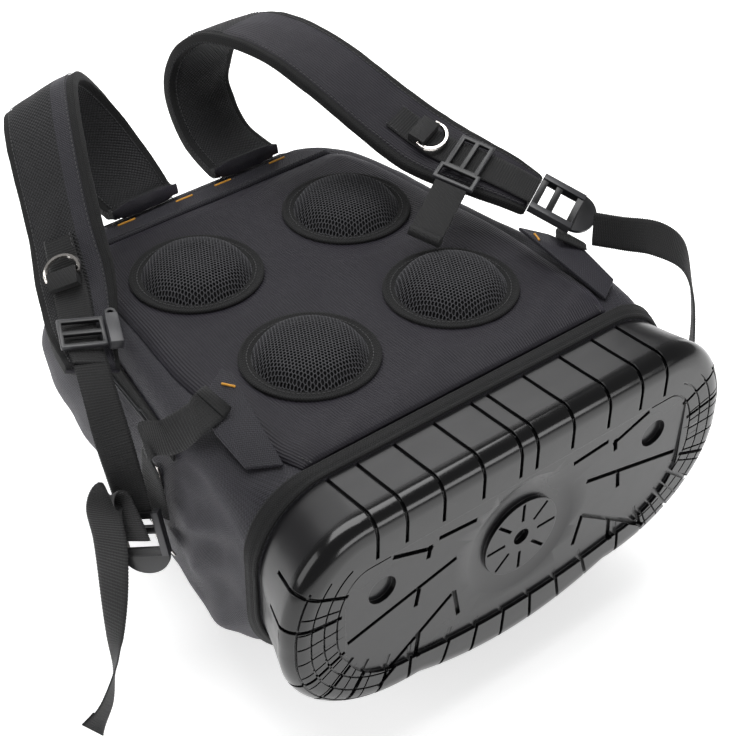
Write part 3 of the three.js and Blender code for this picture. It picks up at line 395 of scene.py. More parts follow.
def finish(piece, nodes=(), body="pack"):
    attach(piece, body)
    if nodes:
        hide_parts(*nodes)
    return piece


def joinMeshes(name, meshes):
    work = bmesh.new()
    for mesh in meshes:
        work.from_mesh(mesh)
    joined = bpy.data.meshes.new(name)
    work.to_mesh(joined)
    work.free()
    return joined


def curveRow(keys, values, at):
    # Smooth values through the keys, without overshoot.
    keys, values, at = (np.asarray(a, float) for a in (keys, values, at))
    h = np.diff(keys)
    slope = np.diff(values) / h
    tangent = np.zeros(len(keys))
    before, after = slope[:-1], slope[1:]
    tangent[1:-1] = np.where(after * before > 0, 2 * after * before / (after + before + 1e-12), 0)
    tangent[0], tangent[-1] = slope[0], slope[-1]
    k = np.clip(np.searchsorted(keys, at, side="right") - 1, 0, len(keys) - 2)
    t = (at - keys[k]) / h[k]
    return (
        (2 * t**3 - 3 * t**2 + 1) * values[k]
        + (t**3 - 2 * t**2 + t) * h[k] * tangent[k]
        + (3 * t**2 - 2 * t**3) * values[k + 1]
        + (t**3 - t**2) * h[k] * tangent[k + 1]
    )


def bumpField(points, scale, seed):
    # Soft noise between -1 and 1 at points in millimetres.
    flat = points.reshape(-1, 3) / scale + seed * 7.3
    return np.array([noise.noise(Vector(p)) for p in flat]).reshape(points.shape[:-1])


def foldField(points, folds):
    # Height of the folds at the points: each runs from a to b, fading at both ends.
    total = np.zeros(points.shape[:-1])
    for fold in folds:
        a, b = np.array(fold["a"], float), np.array(fold["b"], float)
        t = np.clip(((points - a) @ (b - a)) / ((b - a) @ (b - a)), 0, 1)
        away = np.linalg.norm(points - a - t[..., None] * (b - a), axis=-1) / fold["wide"]
        ends = np.sin(np.pi * (0.08 + 0.84 * t)) ** 0.7
        total += fold["high"] * ends * (np.exp(-(away**2)) - 0.35 * np.exp(-((away - 1.9) ** 2)))
    return total


def treeOf(*meshes):
    # Surfaces to lay things on or keep clear of
    work = bmesh.new()
    for mesh in meshes:
        work.from_mesh(mesh)
    tree = BVHTree.FromBMesh(work)
    work.free()
    return tree


def clearOf(points, *nodes, reach=9.0):
    # 0 at the named nodes and 1 from the reach onward, for each point.
    tree = treeOf(*[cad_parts[node].data for node in nodes])
    flat = toRow(points.reshape(-1, 3))
    away = np.array([(tree.find_nearest(Vector(p), reach * mm)[3] or reach * mm) for p in flat])
    share = np.clip((away / mm - 2.5) / (reach - 2.5), 0, 1)
    return share.reshape(points.shape[:-1])


def layOn(points, tree, lift):
    laid = []
    for p in toRow(points):
        spot, normal, _, _ = tree.find_nearest(Vector(p))
        laid.append((np.array(spot + normal * lift * mm) - bagOrigin) / mm)
    return laid


def loopNormals(sections):
    around = np.roll(sections, -1, 1) - np.roll(sections, 1, 1)
    along = np.gradient(sections, axis=0)
    normal = np.cross(around, along)
    normal /= np.linalg.norm(normal, axis=2, keepdims=True) + 1e-9
    middle = sections.mean(1, keepdims=True)
    if ((sections - middle) * normal).sum() < 0:
        normal = -normal
    return normal


# Outlines of the bag, as the solids have them

bagSet = {"length": 400, "half": 178, "lean": 20, "depth": 200, "seamGap": 0.3}
traySet = {"half": 194, "depth": 192, "height": 53, "edge": 16, "rimBack": -4,
           "groove": 3.6, "grooveDeep": 3, "block": 28, "reach": 40, "fieldDrop": 3}
planKeys = ("half", "back", "front", "backX", "backZ", "frontX", "frontZ", "bow", "swell")
solePlan = dict(half=194, back=0, front=-192, backX=0.32 * 194, backZ=0.4 * 192, frontX=0.55 * 194,
                frontZ=0.47 * 192, bow=0.08 * 192, swell=0)
rimPlan = dict(half=178, back=-4, front=-170, backX=0.3 * 178, backZ=0.34 * 166, frontX=0.5 * 178,
               frontZ=0.46 * 166, bow=0.03 * 166, swell=0)


def planLoop(plan, y, corner=16, side=16):
    half, back, front, backX, backZ, frontX, frontZ, bow, swell = (plan[key] for key in planKeys)
    loop = []
    edge = front + bow

    def arc(cx, cz, rx, rz, start):
        for turn in np.linspace(start, start + math.pi / 2, corner + 1):
            loop.append((cx + rx * math.cos(turn), cz + rz * math.sin(turn)))

    def straight(x0, z0, x1, z1, sideways, down):
        for t in np.linspace(0, 1, side + 1)[1:-1]:
            bulge = 4 * t * (1 - t)
            loop.append((x0 + (x1 - x0) * t + sideways * bulge, z0 + (z1 - z0) * t - down * bulge))

    arc(half - backX, back - backZ, backX, backZ, 0)
    straight(half - backX, back, backX - half, back, 0, 0)
    arc(backX - half, back - backZ, backX, backZ, math.pi / 2)
    straight(-half, back - backZ, -half, edge + frontZ, -swell, 0)
    arc(frontX - half, edge + frontZ, frontX, frontZ, math.pi)
    straight(frontX - half, edge, half - frontX, edge, 0, bow)
    arc(half - frontX, edge + frontZ, frontX, frontZ, 1.5 * math.pi)
    straight(half, edge + frontZ, half, back - backZ, swell, 0)
    return np.array([(x, y, z) for x, z in loop])


def insetLoop(loop, by):
    along = np.roll(loop, -1, 0) - np.roll(loop, 1, 0)
    along /= np.linalg.norm(along, axis=1, keepdims=True) + 1e-9
    moved = loop.copy()
    moved[:, 0] -= along[:, 2] * by
    moved[:, 2] += along[:, 0] * by
    return moved


def blendPlans(a, b, t):
    return {key: a[key] + (b[key] - a[key]) * t for key in planKeys}


bodyTable = [
    # along, half, swell, lean, front, backX, backZ, frontX, frontZ, as in the solids
    (0.05, 1, 0, 0.04, 0.88, 0.2, 0.2, 0.42, 0.36),
    (0.13, 0.99, 0, 0.1, 0.955, 0.11, 0.13, 0.34, 0.28),
    (0.22, 0.975, 0.02, 0.2, 0.995, 0.09, 0.11, 0.28, 0.24),
    (0.38, 0.925, 0.05, 0.36, 1, 0.08, 0.1, 0.25, 0.23),
    (0.58, 0.865, 0.1, 0.55, 1, 0.075, 0.09, 0.25, 0.23),
    (0.76, 0.825, 0.13, 0.72, 1, 0.075, 0.09, 0.26, 0.24),
    (0.87, 0.785, 0.13, 0.84, 0.96, 0.08, 0.09, 0.3, 0.28),
    (0.935, 0.73, 0.11, 0.95, 0.87, 0.1, 0.1, 0.3, 0.3),
    (0.975, 0.64, 0.08, 1.1, 0.72, 0.1, 0.12, 0.26, 0.26),
    (1, 0.5, 0.04, 1.75, 0.52, 0.08, 0.08, 0.16, 0.14),
]
bodyFoot = traySet["height"] + bagSet["seamGap"]
bodySpan = bagSet["length"] - bodyFoot


def bodyPlan(along, half, swell, lean, front, backX, backZ, frontX, frontZ):
    depth = bagSet["depth"]
    return dict(half=half * bagSet["half"],
                back=traySet["rimBack"] - lean * (bagSet["lean"] + traySet["rimBack"]),
                front=-front * depth, backX=backX * depth, backZ=backZ * depth, frontX=frontX * depth,
                frontZ=frontZ * depth, bow=0, swell=swell * bagSet["half"])


bodyKeys = [0.0] + [row[0] for row in bodyTable]
bodyPlans = [rimPlan] + [bodyPlan(*row) for row in bodyTable]


def planAt(share):
    return {key: float(curveRow(bodyKeys, [plan[key] for plan in bodyPlans], [share])[0]) for key in planKeys}


def panelHeight(y):
    shares = (np.asarray(y, float) - bodyFoot) / bodySpan
    return np.interp(shares, bodyKeys, [plan["back"] for plan in bodyPlans])


# Body of the bag

bodySet = {"rows": 84, "corner": 22, "side": 26, "crease": 0.9}
bodyFolds = [
    # Left side, from the binding up and round under the webbing
    dict(a=(-166, 72, -40), b=(-172, 158, -95), wide=8, high=6.0),
    dict(a=(-158, 78, -16), b=(-166, 140, -50), wide=7, high=4.6),
    dict(a=(-172, 92, -80), b=(-176, 176, -150), wide=10, high=4.0),
    dict(a=(-170, 68, -105), b=(-178, 126, -170), wide=10, high=4.4),
    dict(a=(-160, 130, -22), b=(-172, 176, -70), wide=8, high=3.0),
    dict(a=(-174, 190, -60), b=(-180, 250, -130), wide=13, high=-3.2),
    dict(a=(-172, 230, -40), b=(-186, 290, -100), wide=12, high=2.6),
    dict(a=(-176, 280, -70), b=(-170, 340, -140), wide=12, high=-2.6),
    dict(a=(-160, 330, -40), b=(-150, 372, -90), wide=9, high=2.2),
    dict(a=(-120, 380, -60), b=(-40, 392, -95), wide=9, high=2.4),
    # Right side and front
    dict(a=(166, 70, -40), b=(172, 140, -100), wide=9, high=4.0),
    dict(a=(160, 78, -18), b=(166, 130, -55), wide=7, high=3.0),
    dict(a=(172, 96, -90), b=(178, 180, -150), wide=10, high=3.6),
    dict(a=(174, 200, -60), b=(182, 280, -130), wide=12, high=-3.0),
    dict(a=(176, 270, -50), b=(164, 345, -120), wide=12, high=2.6),
    dict(a=(120, 384, -60), b=(40, 394, -100), wide=9, high=2.2),
    dict(a=(-120, 90, -190), b=(-60, 180, -200), wide=12, high=3.0),
    dict(a=(110, 84, -188), b=(70, 170, -200), wide=12, high=3.0),
    dict(a=(-90, 350, -196), b=(90, 344, -198), wide=10, high=2.4),
]


def bodySections():
    shares = np.concatenate([np.linspace(0, 0.85, bodySet["rows"] - 30), np.linspace(0.86, 1, 30)])
    loops = [planLoop(planAt(s), bodyFoot + s * bodySpan, bodySet["corner"], bodySet["side"]) for s in shares]
    return np.array(loops), shares


bodyNeighbours = ["tape_clip", "clip_rivet", "lower_webbing_left", "lower_webbing_right", "main_zip",
                  "wing_left", "wing_right", "front_pocket", "shoulder_pad_left", "shoulder_pad_right", "ladder_lock_left",
                  "strap_drop_left", "free_end_left", "chest_hook"]


def makeBody():
    sections, shares = bodySections()
    lift = foldField(sections, bodyFolds) + bodySet["crease"] * bumpField(sections, 34, 1)
    lift += 0.35 * bumpField(sections, 11, 2)
    hold = np.clip(np.minimum(shares / 0.05, (1 - shares) / 0.06), 0, 1)[:, None]
    free = np.minimum(
        clearOf(sections, *bodyNeighbours), clearOf(sections, "tape_clip", "clip_rivet", reach=30)
    )
    lift = np.where(lift > 0, lift * free, lift) - 0.3 * (1 - free)
    underPanel = (np.abs(sections[..., 0]) < 0.8 * bagSet["half"]) & (sections[..., 2] > -30)
    lift = np.where(underPanel, np.minimum(lift, 0) * 0.3 - 0.2, lift)
    sections = sections + loopNormals(sections) * (lift * hold)[..., None]
    # By the things that lie on it, the cloth keeps to the solid's own surface.
    shell = treeOf(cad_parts["bag_shell"].data)
    for i, j in np.argwhere(free < 0.999):
        spot, _, _, _ = shell.find_nearest(Vector(toRow(sections[i, j])), 9 * mm)
        if spot is not None:
            flat = (np.array(spot) - bagOrigin) / mm
            sections[i, j] += (flat - sections[i, j]) * (1 - free[i, j])
    # The top closes over in two shorter loops, and the foot turns in behind the tape.
    top = sections[-1]
    middle = top.mean(0)
    steps = ((0.965, 0.9), (0.9, 1.4), (0.4, 1.6), (0.05, 1.6))
    closing = [middle + (top - middle) * share + (0, rise, 0) for share, rise in steps]
    foot = insetLoop(sections[0], 4)
    sections = np.concatenate([[foot], sections, closing])
    mesh = loftMesh("bodyCloth", sections, [shellCloth])
    finish(linkObject("bodyCloth", mesh), ["bag_shell"])


makeBody()
print("body")

# Padded panel, band over its top, and the front pocket

meshPadSet = {"radius": 49, "dome": 38.5, "rise": 17, "flange": 2.0, "cell": 2.6, "thread": 0.42,
              "places": {"top_left": (-0.382, 0.668), "top_right": (0.382, 0.668), "low_left": (-0.35, 0.292),
                         "low_right": (0.35, 0.292)}}

panelSet = {"thick": 4, "rows": 110, "across": 91, "swell": 2.4}
panelRows = [(0.043, 0.74), (0.12, 0.79), (0.2, 0.8), (0.38, 0.81), (0.58, 0.77),
             (0.78, 0.725), (0.885, 0.66)]
panelFolds = [
    dict(a=(-118, 84, -6), b=(-46, 120, -8), wide=7, high=1.8),
    dict(a=(-95, 74, -6), b=(-60, 96, -6), wide=6, high=1.4),
    dict(a=(-128, 112, -8), b=(-96, 190, -10), wide=8, high=1.6),
    dict(a=(-20, 82, -6), b=(26, 118, -8), wide=8, high=1.5),
    dict(a=(10, 96, -6), b=(56, 84, -6), wide=7, high=1.4),
    dict(a=(70, 80, -6), b=(122, 112, -8), wide=7, high=2.0),
    dict(a=(96, 76, -6), b=(130, 92, -6), wide=6, high=1.5),
    dict(a=(-8, 150, -10), b=(4, 300, -14), wide=16, high=-1.2),
    dict(a=(-120, 250, -12), b=(-96, 330, -16), wide=9, high=1.0),
    dict(a=(118, 180, -10), b=(112, 300, -14), wide=9, high=1.2),
    dict(a=(-40, 330, -16), b=(44, 338, -16), wide=9, high=1.0),
]


def slabSections(rows, thick, count, across, crown, edge):
    shares = np.linspace(rows[0][0], rows[-1][0], count)
    halves = curveRow([r[0] for r in rows], [r[1] for r in rows], shares) * bagSet["half"]
    sections = []
    for share, half in zip(shares, halves):
        y = bodyFoot + share * bodySpan
        low = float(panelHeight(y)) + bagSet["seamGap"]
        endEase = min(1.0, min(share - shares[0], shares[-1] - share) * bodySpan / edge + 0.03) ** 0.5
        u = np.linspace(-1, 1, across)
        sideEase = np.clip((1 - np.abs(u)) * half / edge, 0, 1)
        sideEase = np.sqrt(np.clip(1 - (1 - sideEase) ** 2, 0, 1))
        rise = thick * (0.06 + 0.94 * sideEase * endEase) + crown * (1 - u**2) * endEase
        over = np.stack([u * half, np.full(across, y), low + rise], -1)
        under = np.stack([u[::-1] * half, np.full(across, y), np.full(across, low)], -1)
        sections.append(np.concatenate([over, under]))
    return np.array(sections), across


def makePanel():
    sections, across = slabSections(
        panelRows, panelSet["thick"], panelSet["rows"], panelSet["across"], 0.4, 13
    )
    over = sections[:, :across]
    u = np.linspace(-1, 1, across)
    ease = np.clip((1 - np.abs(u)) * 10, 0, 1)[None, :]
    lift = foldField(over, panelFolds) + 0.35 * bumpField(over, 30, 3) + 0.15 * bumpField(over, 9, 4)
    # The foam swells between the pads, which are sewn down round their rims, and the panel's own edge.
    rims = [
        np.array((x * bagSet["half"], bodyFoot + along * bodySpan))
        for x, along in meshPadSet["places"].values()
    ]
    away = np.min(
        [np.linalg.norm(over[..., :2] - rim, axis=-1) - meshPadSet["radius"] for rim in rims], axis=0
    )
    lift = np.where(away > 0, lift, 0) * np.clip(away / 8, 0, 1) - 0.3 * (away <= 0)
    lift += panelSet["swell"] * np.clip(away / 26, 0, 1) ** 0.8
    over[..., 2] += lift * ease
    mesh = loftMesh("backPanelCloth", sections, [panelCloth])
    finish(linkObject("backPanelCloth", mesh), ["back_panel"])


makePanel()

bandSet = {"high": 25, "thick": 4, "top": 0.965}


def makeTopBand():
    foot = bandSet["top"] - bandSet["high"] / bodySpan
    rows = [(foot, 0.645), (foot + 0.55 * (bandSet["top"] - foot), 0.57), (bandSet["top"], 0.43)]
    sections, across = slabSections(rows, bandSet["thick"], 26, 61, 0.3, 2.5)
    sections[:, :across, 2] += 0.3 * bumpField(sections[:, :across], 16, 5)
    mesh = loftMesh("topBandCloth", sections, [shellCloth])
    finish(linkObject("topBandCloth", mesh), ["top_band"])


makeTopBand()

pocketSet = {"half": 122, "foot": 92, "length": 240, "depth": 35, "corner": 0.3}


def makePocket():
    half, long, corner = pocketSet["half"], pocketSet["length"] / 2, pocketSet["corner"] * pocketSet["half"]
    top = -bagSet["depth"] - bagSet["seamGap"]
    edge = 0.35 * pocketSet["depth"]

    def loopAt(inset, z):
        points = []
        centres = [(half - corner, long - corner), (corner - half, long - corner),
                   (corner - half, corner - long), (half - corner, corner - long)]
        for (cx, cy), start in zip(centres, np.arange(4) * math.pi / 2):
            shift = (-np.sign(cx) * inset, -np.sign(cy) * inset)
            for turn in np.linspace(start, start + math.pi / 2, 12):
                points.append((cx + shift[0] + corner * math.cos(turn),
                               pocketSet["foot"] + long + cy + shift[1] + corner * math.sin(turn), z))
        return np.array(points)

    turns = np.linspace(0, math.pi / 2, 8)
    outer = [loopAt(0, top)] + [
        loopAt(edge * (1 - math.cos(t)), top - pocketSet["depth"] + edge * (1 - math.sin(t)))
        for t in turns
    ]
    floor = [loopAt(edge + inset, top - pocketSet["depth"]) for inset in (25, 50, 75)]
    mesh = loftMesh("frontPocketCloth", outer + floor, [shellCloth])
    finish(linkObject("frontPocketCloth", mesh), ["front_pocket"])


makePocket()
print("panel, band and pocket")

# Tape bound over the seam to the tray

tapeSet = {"wide": 13, "thick": 2.2, "lift": 0.9}


def bindingSections():
    low, high = tapeSet["lift"], tapeSet["lift"] + tapeSet["thick"]
    first = planAt(0.05)
    profile = [(0.02, low), (0.0, high * 0.75), (0.06, high), (0.2, high * 1.06), (0.3, high * 0.86),
               (0.42, high * 1.1),
               (0.6, high * 1.1), (0.78, high * 0.95), (0.9, high * 1.05), (0.98, high * 0.9), (1.0, low)]
    rings = []
    for rise, out in profile:
        share = rise * tapeSet["wide"] / bodySpan
        t = min(share / 0.05, 1)
        loop = planLoop(blendPlans(rimPlan, first, t), bodyFoot + rise * tapeSet["wide"], 22, 40)
        rings.append(insetLoop(loop, -out))
    return np.array(rings)


def makeBinding():
    rings = bindingSections()
    sections = np.transpose(rings, (1, 0, 2))  # now each section goes round the tape
    sections = np.concatenate([sections, sections[:1]])
    lift = 0.25 * bumpField(sections, 5, 6)
    lift[-1] = lift[0]
    sections[..., 0] += lift * np.sign(sections[..., 0]) * 0.7
    sections[..., 2] += lift * 0.7
    mesh = loftMesh("baseTape", sections, [bindingTape])
    work = bmesh.new()
    work.from_mesh(mesh)
    caps = [f for f in work.faces if len(f.verts) > 4]
    bmesh.ops.delete(work, geom=caps, context="FACES")
    bmesh.ops.remove_doubles(work, verts=work.verts, dist=1e-5)
    work.to_mesh(mesh)
    work.free()
    finish(linkObject("baseTape", mesh), ["base_binding"])


makeBinding()
print("binding")

# Foot tray

backGrooves = (0.036, 0.2, 0.37, 0.525, 0.645)
soleBars = [
    # x0, z0, x1, z1 as shares of the sole's half width and depth
    (0.22, 0.255, 0.385, 0.24), (0.41, 0.27, 0.58, 0.205), (0.42, 0.25, 0.428, 0.31),
    (0.3, 0.39, 0.76, 0.505),
    (0.46, 0.44, 0.472, 0.52), (0.3, 0.56, 0.635, 0.81), (0.3, 0.56, 0.272, 0.7), (0.45, 0.67, 0.46, 0.78),
]
roundSet = {"outer": 53, "disc": 32, "hub": 12, "recess": 11, "spokes": 8}
cornerSet = {"arcs": (7, 17, 27, 37), "from": 0.66, "wide": 1.4, "deep": 1.3}


def trayLoops():
    # Sole's rounding, then the wall up to the rim.
    loops = []
    rounding = 0.25 * traySet["height"]
    for turn in np.linspace(0, math.pi / 2, 14):
        tuck = traySet["edge"] * (1 - math.sin(turn))
        y = rounding * (1 - math.cos(turn))
        loops.append((y, 0.08 * y / rounding, tuck))
    for t in np.linspace(0, 1, 9)[1:]:
        rise = 0.25 + 0.75 * t
        flare = float(np.interp(rise, [0.25, 0.6, 1], [0.08, 0.55, 1]))
        loops.append((rise * traySet["height"], flare, 0))
    return [
        insetLoop(planLoop(blendPlans(solePlan, rimPlan, flare), y, 26, 30), tuck)
        for y, flare, tuck in loops
    ]


def cutterBox(size, turn, at):
    # A box turned about Y and placed in the bag's frame.
    work = bmesh.new()
    bmesh.ops.create_cube(work, size=1)
    bmesh.ops.scale(work, vec=Vector(size), verts=work.verts)
    bmesh.ops.rotate(work, cent=(0, 0, 0), matrix=Matrix.Rotation(turn, 3, "Y"), verts=work.verts)
    bmesh.ops.translate(work, vec=Vector(at), verts=work.verts)
    mesh = bpy.data.meshes.new("cutter")
    work.to_mesh(mesh)
    work.free()
    return mesh


def cutterRound(radius, high, at, sides=64):
    work = bmesh.new()
    bmesh.ops.create_cone(work, cap_ends=True, segments=sides, radius1=radius, radius2=radius, depth=high)
    bmesh.ops.rotate(work, cent=(0, 0, 0), matrix=Matrix.Rotation(math.pi / 2, 3, "X"), verts=work.verts)
    bmesh.ops.translate(work, vec=Vector(at), verts=work.verts)
    mesh = bpy.data.meshes.new("cutter")
    work.to_mesh(mesh)
    work.free()
    return mesh


def toPlace(mesh):
    # From millimetres of the bag's frame to the row's frame.
    mesh.transform(Matrix.Translation(Vector(bagOrigin)) @ Matrix.Scale(mm, 4))
    return mesh


def carve(target, meshes, solver="MANIFOLD"):
    # Cuts each mesh, in the bag's millimetres, out of the target.
    for mesh in meshes:
        cutter = linkObject("cutter", toPlace(mesh))
        modifier = target.modifiers.new("carve", "BOOLEAN")
        modifier.operation = "DIFFERENCE"
        modifier.solver = solver
        modifier.object = cutter
        solid = bpy.data.meshes.new_from_object(target.evaluated_get(bpy.context.evaluated_depsgraph_get()))
        target.modifiers.remove(modifier)
        target.data = solid
        bpy.data.objects.remove(cutter)


def shrinkTo(loop, shares=(0.8, 0.6, 0.4, 0.2, 0.04)):
    # Rings that close a flat end towards its middle.
    middle = loop.mean(0)
    return [middle + (loop - middle) * share for share in shares]


def makeTray():
    loops = trayLoops()
    rim = loops[-1]
    inner = [insetLoop(rim, 5), insetLoop(rim, 6) - (0, 30, 0), insetLoop(rim, 40) - (0, 34, 0)]
    inner += shrinkTo(inner[-1])
    sole = shrinkTo(loops[0])[::-1]
    mesh = loftMesh("trayMoulding", sole + loops + inner, [trayPlastic])
    tray = linkObject("trayMoulding", mesh)
    height, deep = traySet["height"], traySet["grooveDeep"]
    half, depth = traySet["half"], traySet["depth"]
    # What lies deeper than a groove
    core = [insetLoop(loop, deep) for loop in loops]
    for loop in core:
        loop[:, 1] = np.maximum(loop[:, 1], deep)
    core.append(core[-1] + (0, 20, 0))
    coreMesh = loftMesh("trayCore", core[:1] + core[6:], [])

    def groovesOf(places, wide):
        pieces = []
        for x, z, turn, back, reach, high in places:
            long = reach + back
            shift = Matrix.Rotation(turn, 3, "Y") @ Vector((0, 0, -(reach - back) / 2))
            pieces.append(cutterBox((wide, high, long), turn, (x + shift.x, high / 2 - 1, z + shift.z)))
        return joinMeshes("grooves", pieces)

    backPlaces = [(side * share * half, 0, 0, 4 * deep, 0.8 * traySet["reach"], 1.02 * height)
                  for side in (-1, 1) for share in backGrooves]
    edge = planLoop(solePlan, 0, 26, 30)
    edgeRun = np.array([p for p in np.roll(edge, -60, 0) if p[2] < -0.16 * depth])
    steps = np.linalg.norm(np.diff(edgeRun, axis=0), axis=1)
    total = steps.sum()
    count = round(total / traySet["block"])
    reached = np.concatenate([[0], np.cumsum(steps)])
    frontPlaces = []
    for b in range(count + 1):
        run = total * b / count
        i = min(int(np.searchsorted(reached, run, side="right")) - 1, len(steps) - 1)
        at = edgeRun[i] + (edgeRun[i + 1] - edgeRun[i]) * (run - reached[i]) / steps[i]
        along = unit(edgeRun[i + 1] - edgeRun[i])
        frontPlaces.append((at[0], at[2], math.atan2(along[2], -along[0]), 4 * deep, traySet["reach"],
                            0.62 * height))
    cuts = linkObject("cuts", toPlace(groovesOf(backPlaces + frontPlaces, traySet["groove"] * 0.8)))
    carveCore = bpy.data.objects.new("core", coreMesh)
    bpy.context.collection.objects.link(carveCore)
    modifier = cuts.modifiers.new("keep", "BOOLEAN")
    modifier.solver = "EXACT"
    modifier.use_self = True
    modifier.object = carveCore
    cutMesh = bpy.data.meshes.new_from_object(cuts.evaluated_get(bpy.context.evaluated_depsgraph_get()))
    bpy.data.objects.remove(cuts)
    bpy.data.objects.remove(carveCore)
    cutMesh.transform(toBag)
    # The field inside the blocks slopes down from the back edge to the front blocks.
    field = dict(half=half - 1.1 * traySet["reach"], back=-0.9 * traySet["reach"],
                 front=-depth + 0.85 * traySet["reach"], backX=0.1 * half, backZ=0.1 * depth,
                 frontX=0.3 * half, frontZ=0.25 * depth, bow=0.05 * depth, swell=0)
    under = planLoop(field, -3, 20, 20)
    over = planLoop(field, 0, 20, 20)
    over[:, 1] = 0.4 + (traySet["fieldDrop"] - 0.4) * (over[:, 2] - field["back"]) / (
        field["front"] - field["back"]
    )
    fieldMesh = loftMesh("field", shrinkTo(under)[::-1] + [under, over] + shrinkTo(over), [])
    fieldMesh.transform(toBag)
    drop = traySet["fieldDrop"]
    z = -0.48 * depth
    carve(tray, [fieldMesh])
    marks = []
    for side in (-1, 1):
        for x0, z0, x1, z1 in soleBars:
            a = np.array([side * x0 * half, -z0 * depth])
            b = np.array([side * x1 * half, -z1 * depth])
            turn = math.atan2(a[1] - b[1], b[0] - a[0])
            marks.append(cutterBox((np.linalg.norm(b - a), 2 * (drop + deep - 1), traySet["groove"]), turn,
                                   ((a[0] + b[0]) / 2, 0, (a[1] + b[1]) / 2)))
        marks.append(cutterRound(
            roundSet["recess"], 2 * (drop + deep - 1), (side * 0.62 * half, 0, -0.335 * depth), 40
        ))
    marks.append(cutterRound(roundSet["hub"] * 0.55, 2 * (drop + 3), (0, 0, z), 40))
    for s in range(roundSet["spokes"]):
        reach = 0.95 * roundSet["disc"] - 1.2 * roundSet["hub"]
        turn = 2 * math.pi * s / roundSet["spokes"]
        far = 1.2 * roundSet["hub"] + reach / 2
        marks.append(cutterBox((reach, 2 * (drop + 3), traySet["groove"] * 0.7), turn,
                               (far * math.cos(turn), 0, z - far * math.sin(turn))))
    # Thin curved grooves and cross grooves round both ends
    arcs, rays = [], []
    for side in (-1, 1):
        for by in cornerSet["arcs"]:
            line = insetLoop(planLoop(solePlan, 0, 26, 30), by)
            line = line[(line[:, 0] * side > cornerSet["from"] * half - 0.6 * by) & (line[:, 2] < -30)]
            gaps = np.linalg.norm(np.diff(line, axis=0), axis=1)
            if gaps.max() > 40:
                line = np.roll(line, -int(gaps.argmax()) - 1, 0)
            along = np.gradient(line, axis=0)
            along /= np.linalg.norm(along, axis=1, keepdims=True)
            square = np.stack([-along[:, 2], np.zeros(len(line)), along[:, 0]], -1) * cornerSet["wide"] / 2
            low = float(np.interp(by, [0, 4, 8, 16], [13, 4.2, 1.8, 0])) + cornerSet["deep"]
            section = np.stack([line + square + (0, low, 0), line - square + (0, low, 0),
                                line - square - (0, 2, 0), line + square - (0, 2, 0)], 1)
            arcs.append(loftMesh("arc", section, []))
            arcs[-1].transform(toBag)
        edgeLine = planLoop(solePlan, 0, 26, 30)
        edgeLine = edgeLine[(edgeLine[:, 0] * side > cornerSet["from"] * half) & (edgeLine[:, 2] < -40)]
        last = None
        for at, after in zip(edgeLine[2:-2], edgeLine[3:-1]):
            if last is not None and np.linalg.norm(at - last) < 12 or np.linalg.norm(after - at) > 9:
                continue
            last = at
            step = unit(after - at)
            long = cornerSet["arcs"][-1]
            shift = np.array([-step[2], 0, step[0]]) * long / 2
            rays.append(cutterBox((cornerSet["wide"], 2 * cornerSet["deep"] + 3, long),
                                  math.atan2(-step[2], step[0]),
                                  tuple(at + shift + (0, -0.5, 0))))
    carve(tray, [joinMeshes("arcs", arcs)])
    carve(tray, [joinMeshes("rays", rays)])
    # Round centre: a dished ring, and inside it a low disc with a hub standing in it.
    turns = np.linspace(0, 2 * math.pi, 97)[:-1]
    rings = [(roundSet["outer"], -2), (roundSet["outer"], 0.6), (roundSet["outer"] - 6, 2.6),
             (roundSet["disc"] + 5, 4.0),
             (roundSet["disc"], 4.0), (roundSet["disc"], -2)]
    dish = np.array([[(r * math.cos(t), y, z + r * math.sin(t)) for r, y in rings] for t in turns])
    dishMesh = loftMesh("dish", np.concatenate([dish, dish[:1]]), [])
    work = bmesh.new()
    work.from_mesh(dishMesh)
    bmesh.ops.delete(work, geom=[f for f in work.faces if len(f.verts) > 4], context="FACES")
    bmesh.ops.remove_doubles(work, verts=work.verts, dist=1e-6)
    bmesh.ops.recalc_face_normals(work, faces=work.faces)
    work.to_mesh(dishMesh)
    work.free()
    dishMesh.transform(toBag)
    carve(tray, [dishMesh] + marks)
    carve(tray, [cutMesh], "EXACT")  # last, since the quicker solver wants a clean solid
    mesh = tray.data
    mesh.polygons.foreach_set("use_smooth", np.ones(len(mesh.polygons), bool))
    mesh.set_sharp_from_angle(angle=math.radians(32))
    # Polished on the rounded edge and the blocks, duller on the flat wall and in the field
    places = np.zeros(len(mesh.vertices) * 3)
    mesh.vertices.foreach_get("co", places)
    local = (places.reshape(-1, 3) - bagOrigin) / mm
    wall = np.clip((local[:, 1] - 13) / 5, 0, 1)
    inField = np.clip((local[:, 1] - 0.2) / 0.5, 0, 1) * (local[:, 1] < 7)
    inField *= (np.abs(local[:, 0]) < half - 34) & (local[:, 2] < -34) & (local[:, 2] > -depth + 24)
    polish = mesh.attributes.new("polish", "FLOAT", "POINT")
    polish.data.foreach_set("value", (1 - 0.75 * wall - 0.55 * inField).astype(np.float32))
    mesh.materials.clear()
    mesh.materials.append(trayPlastic)
    finish(tray, ["base_tray"])
    print("tray faces", len(mesh.polygons))


makeTray()
print("tray")

# Straps: a band is a run of stations, as in the solids

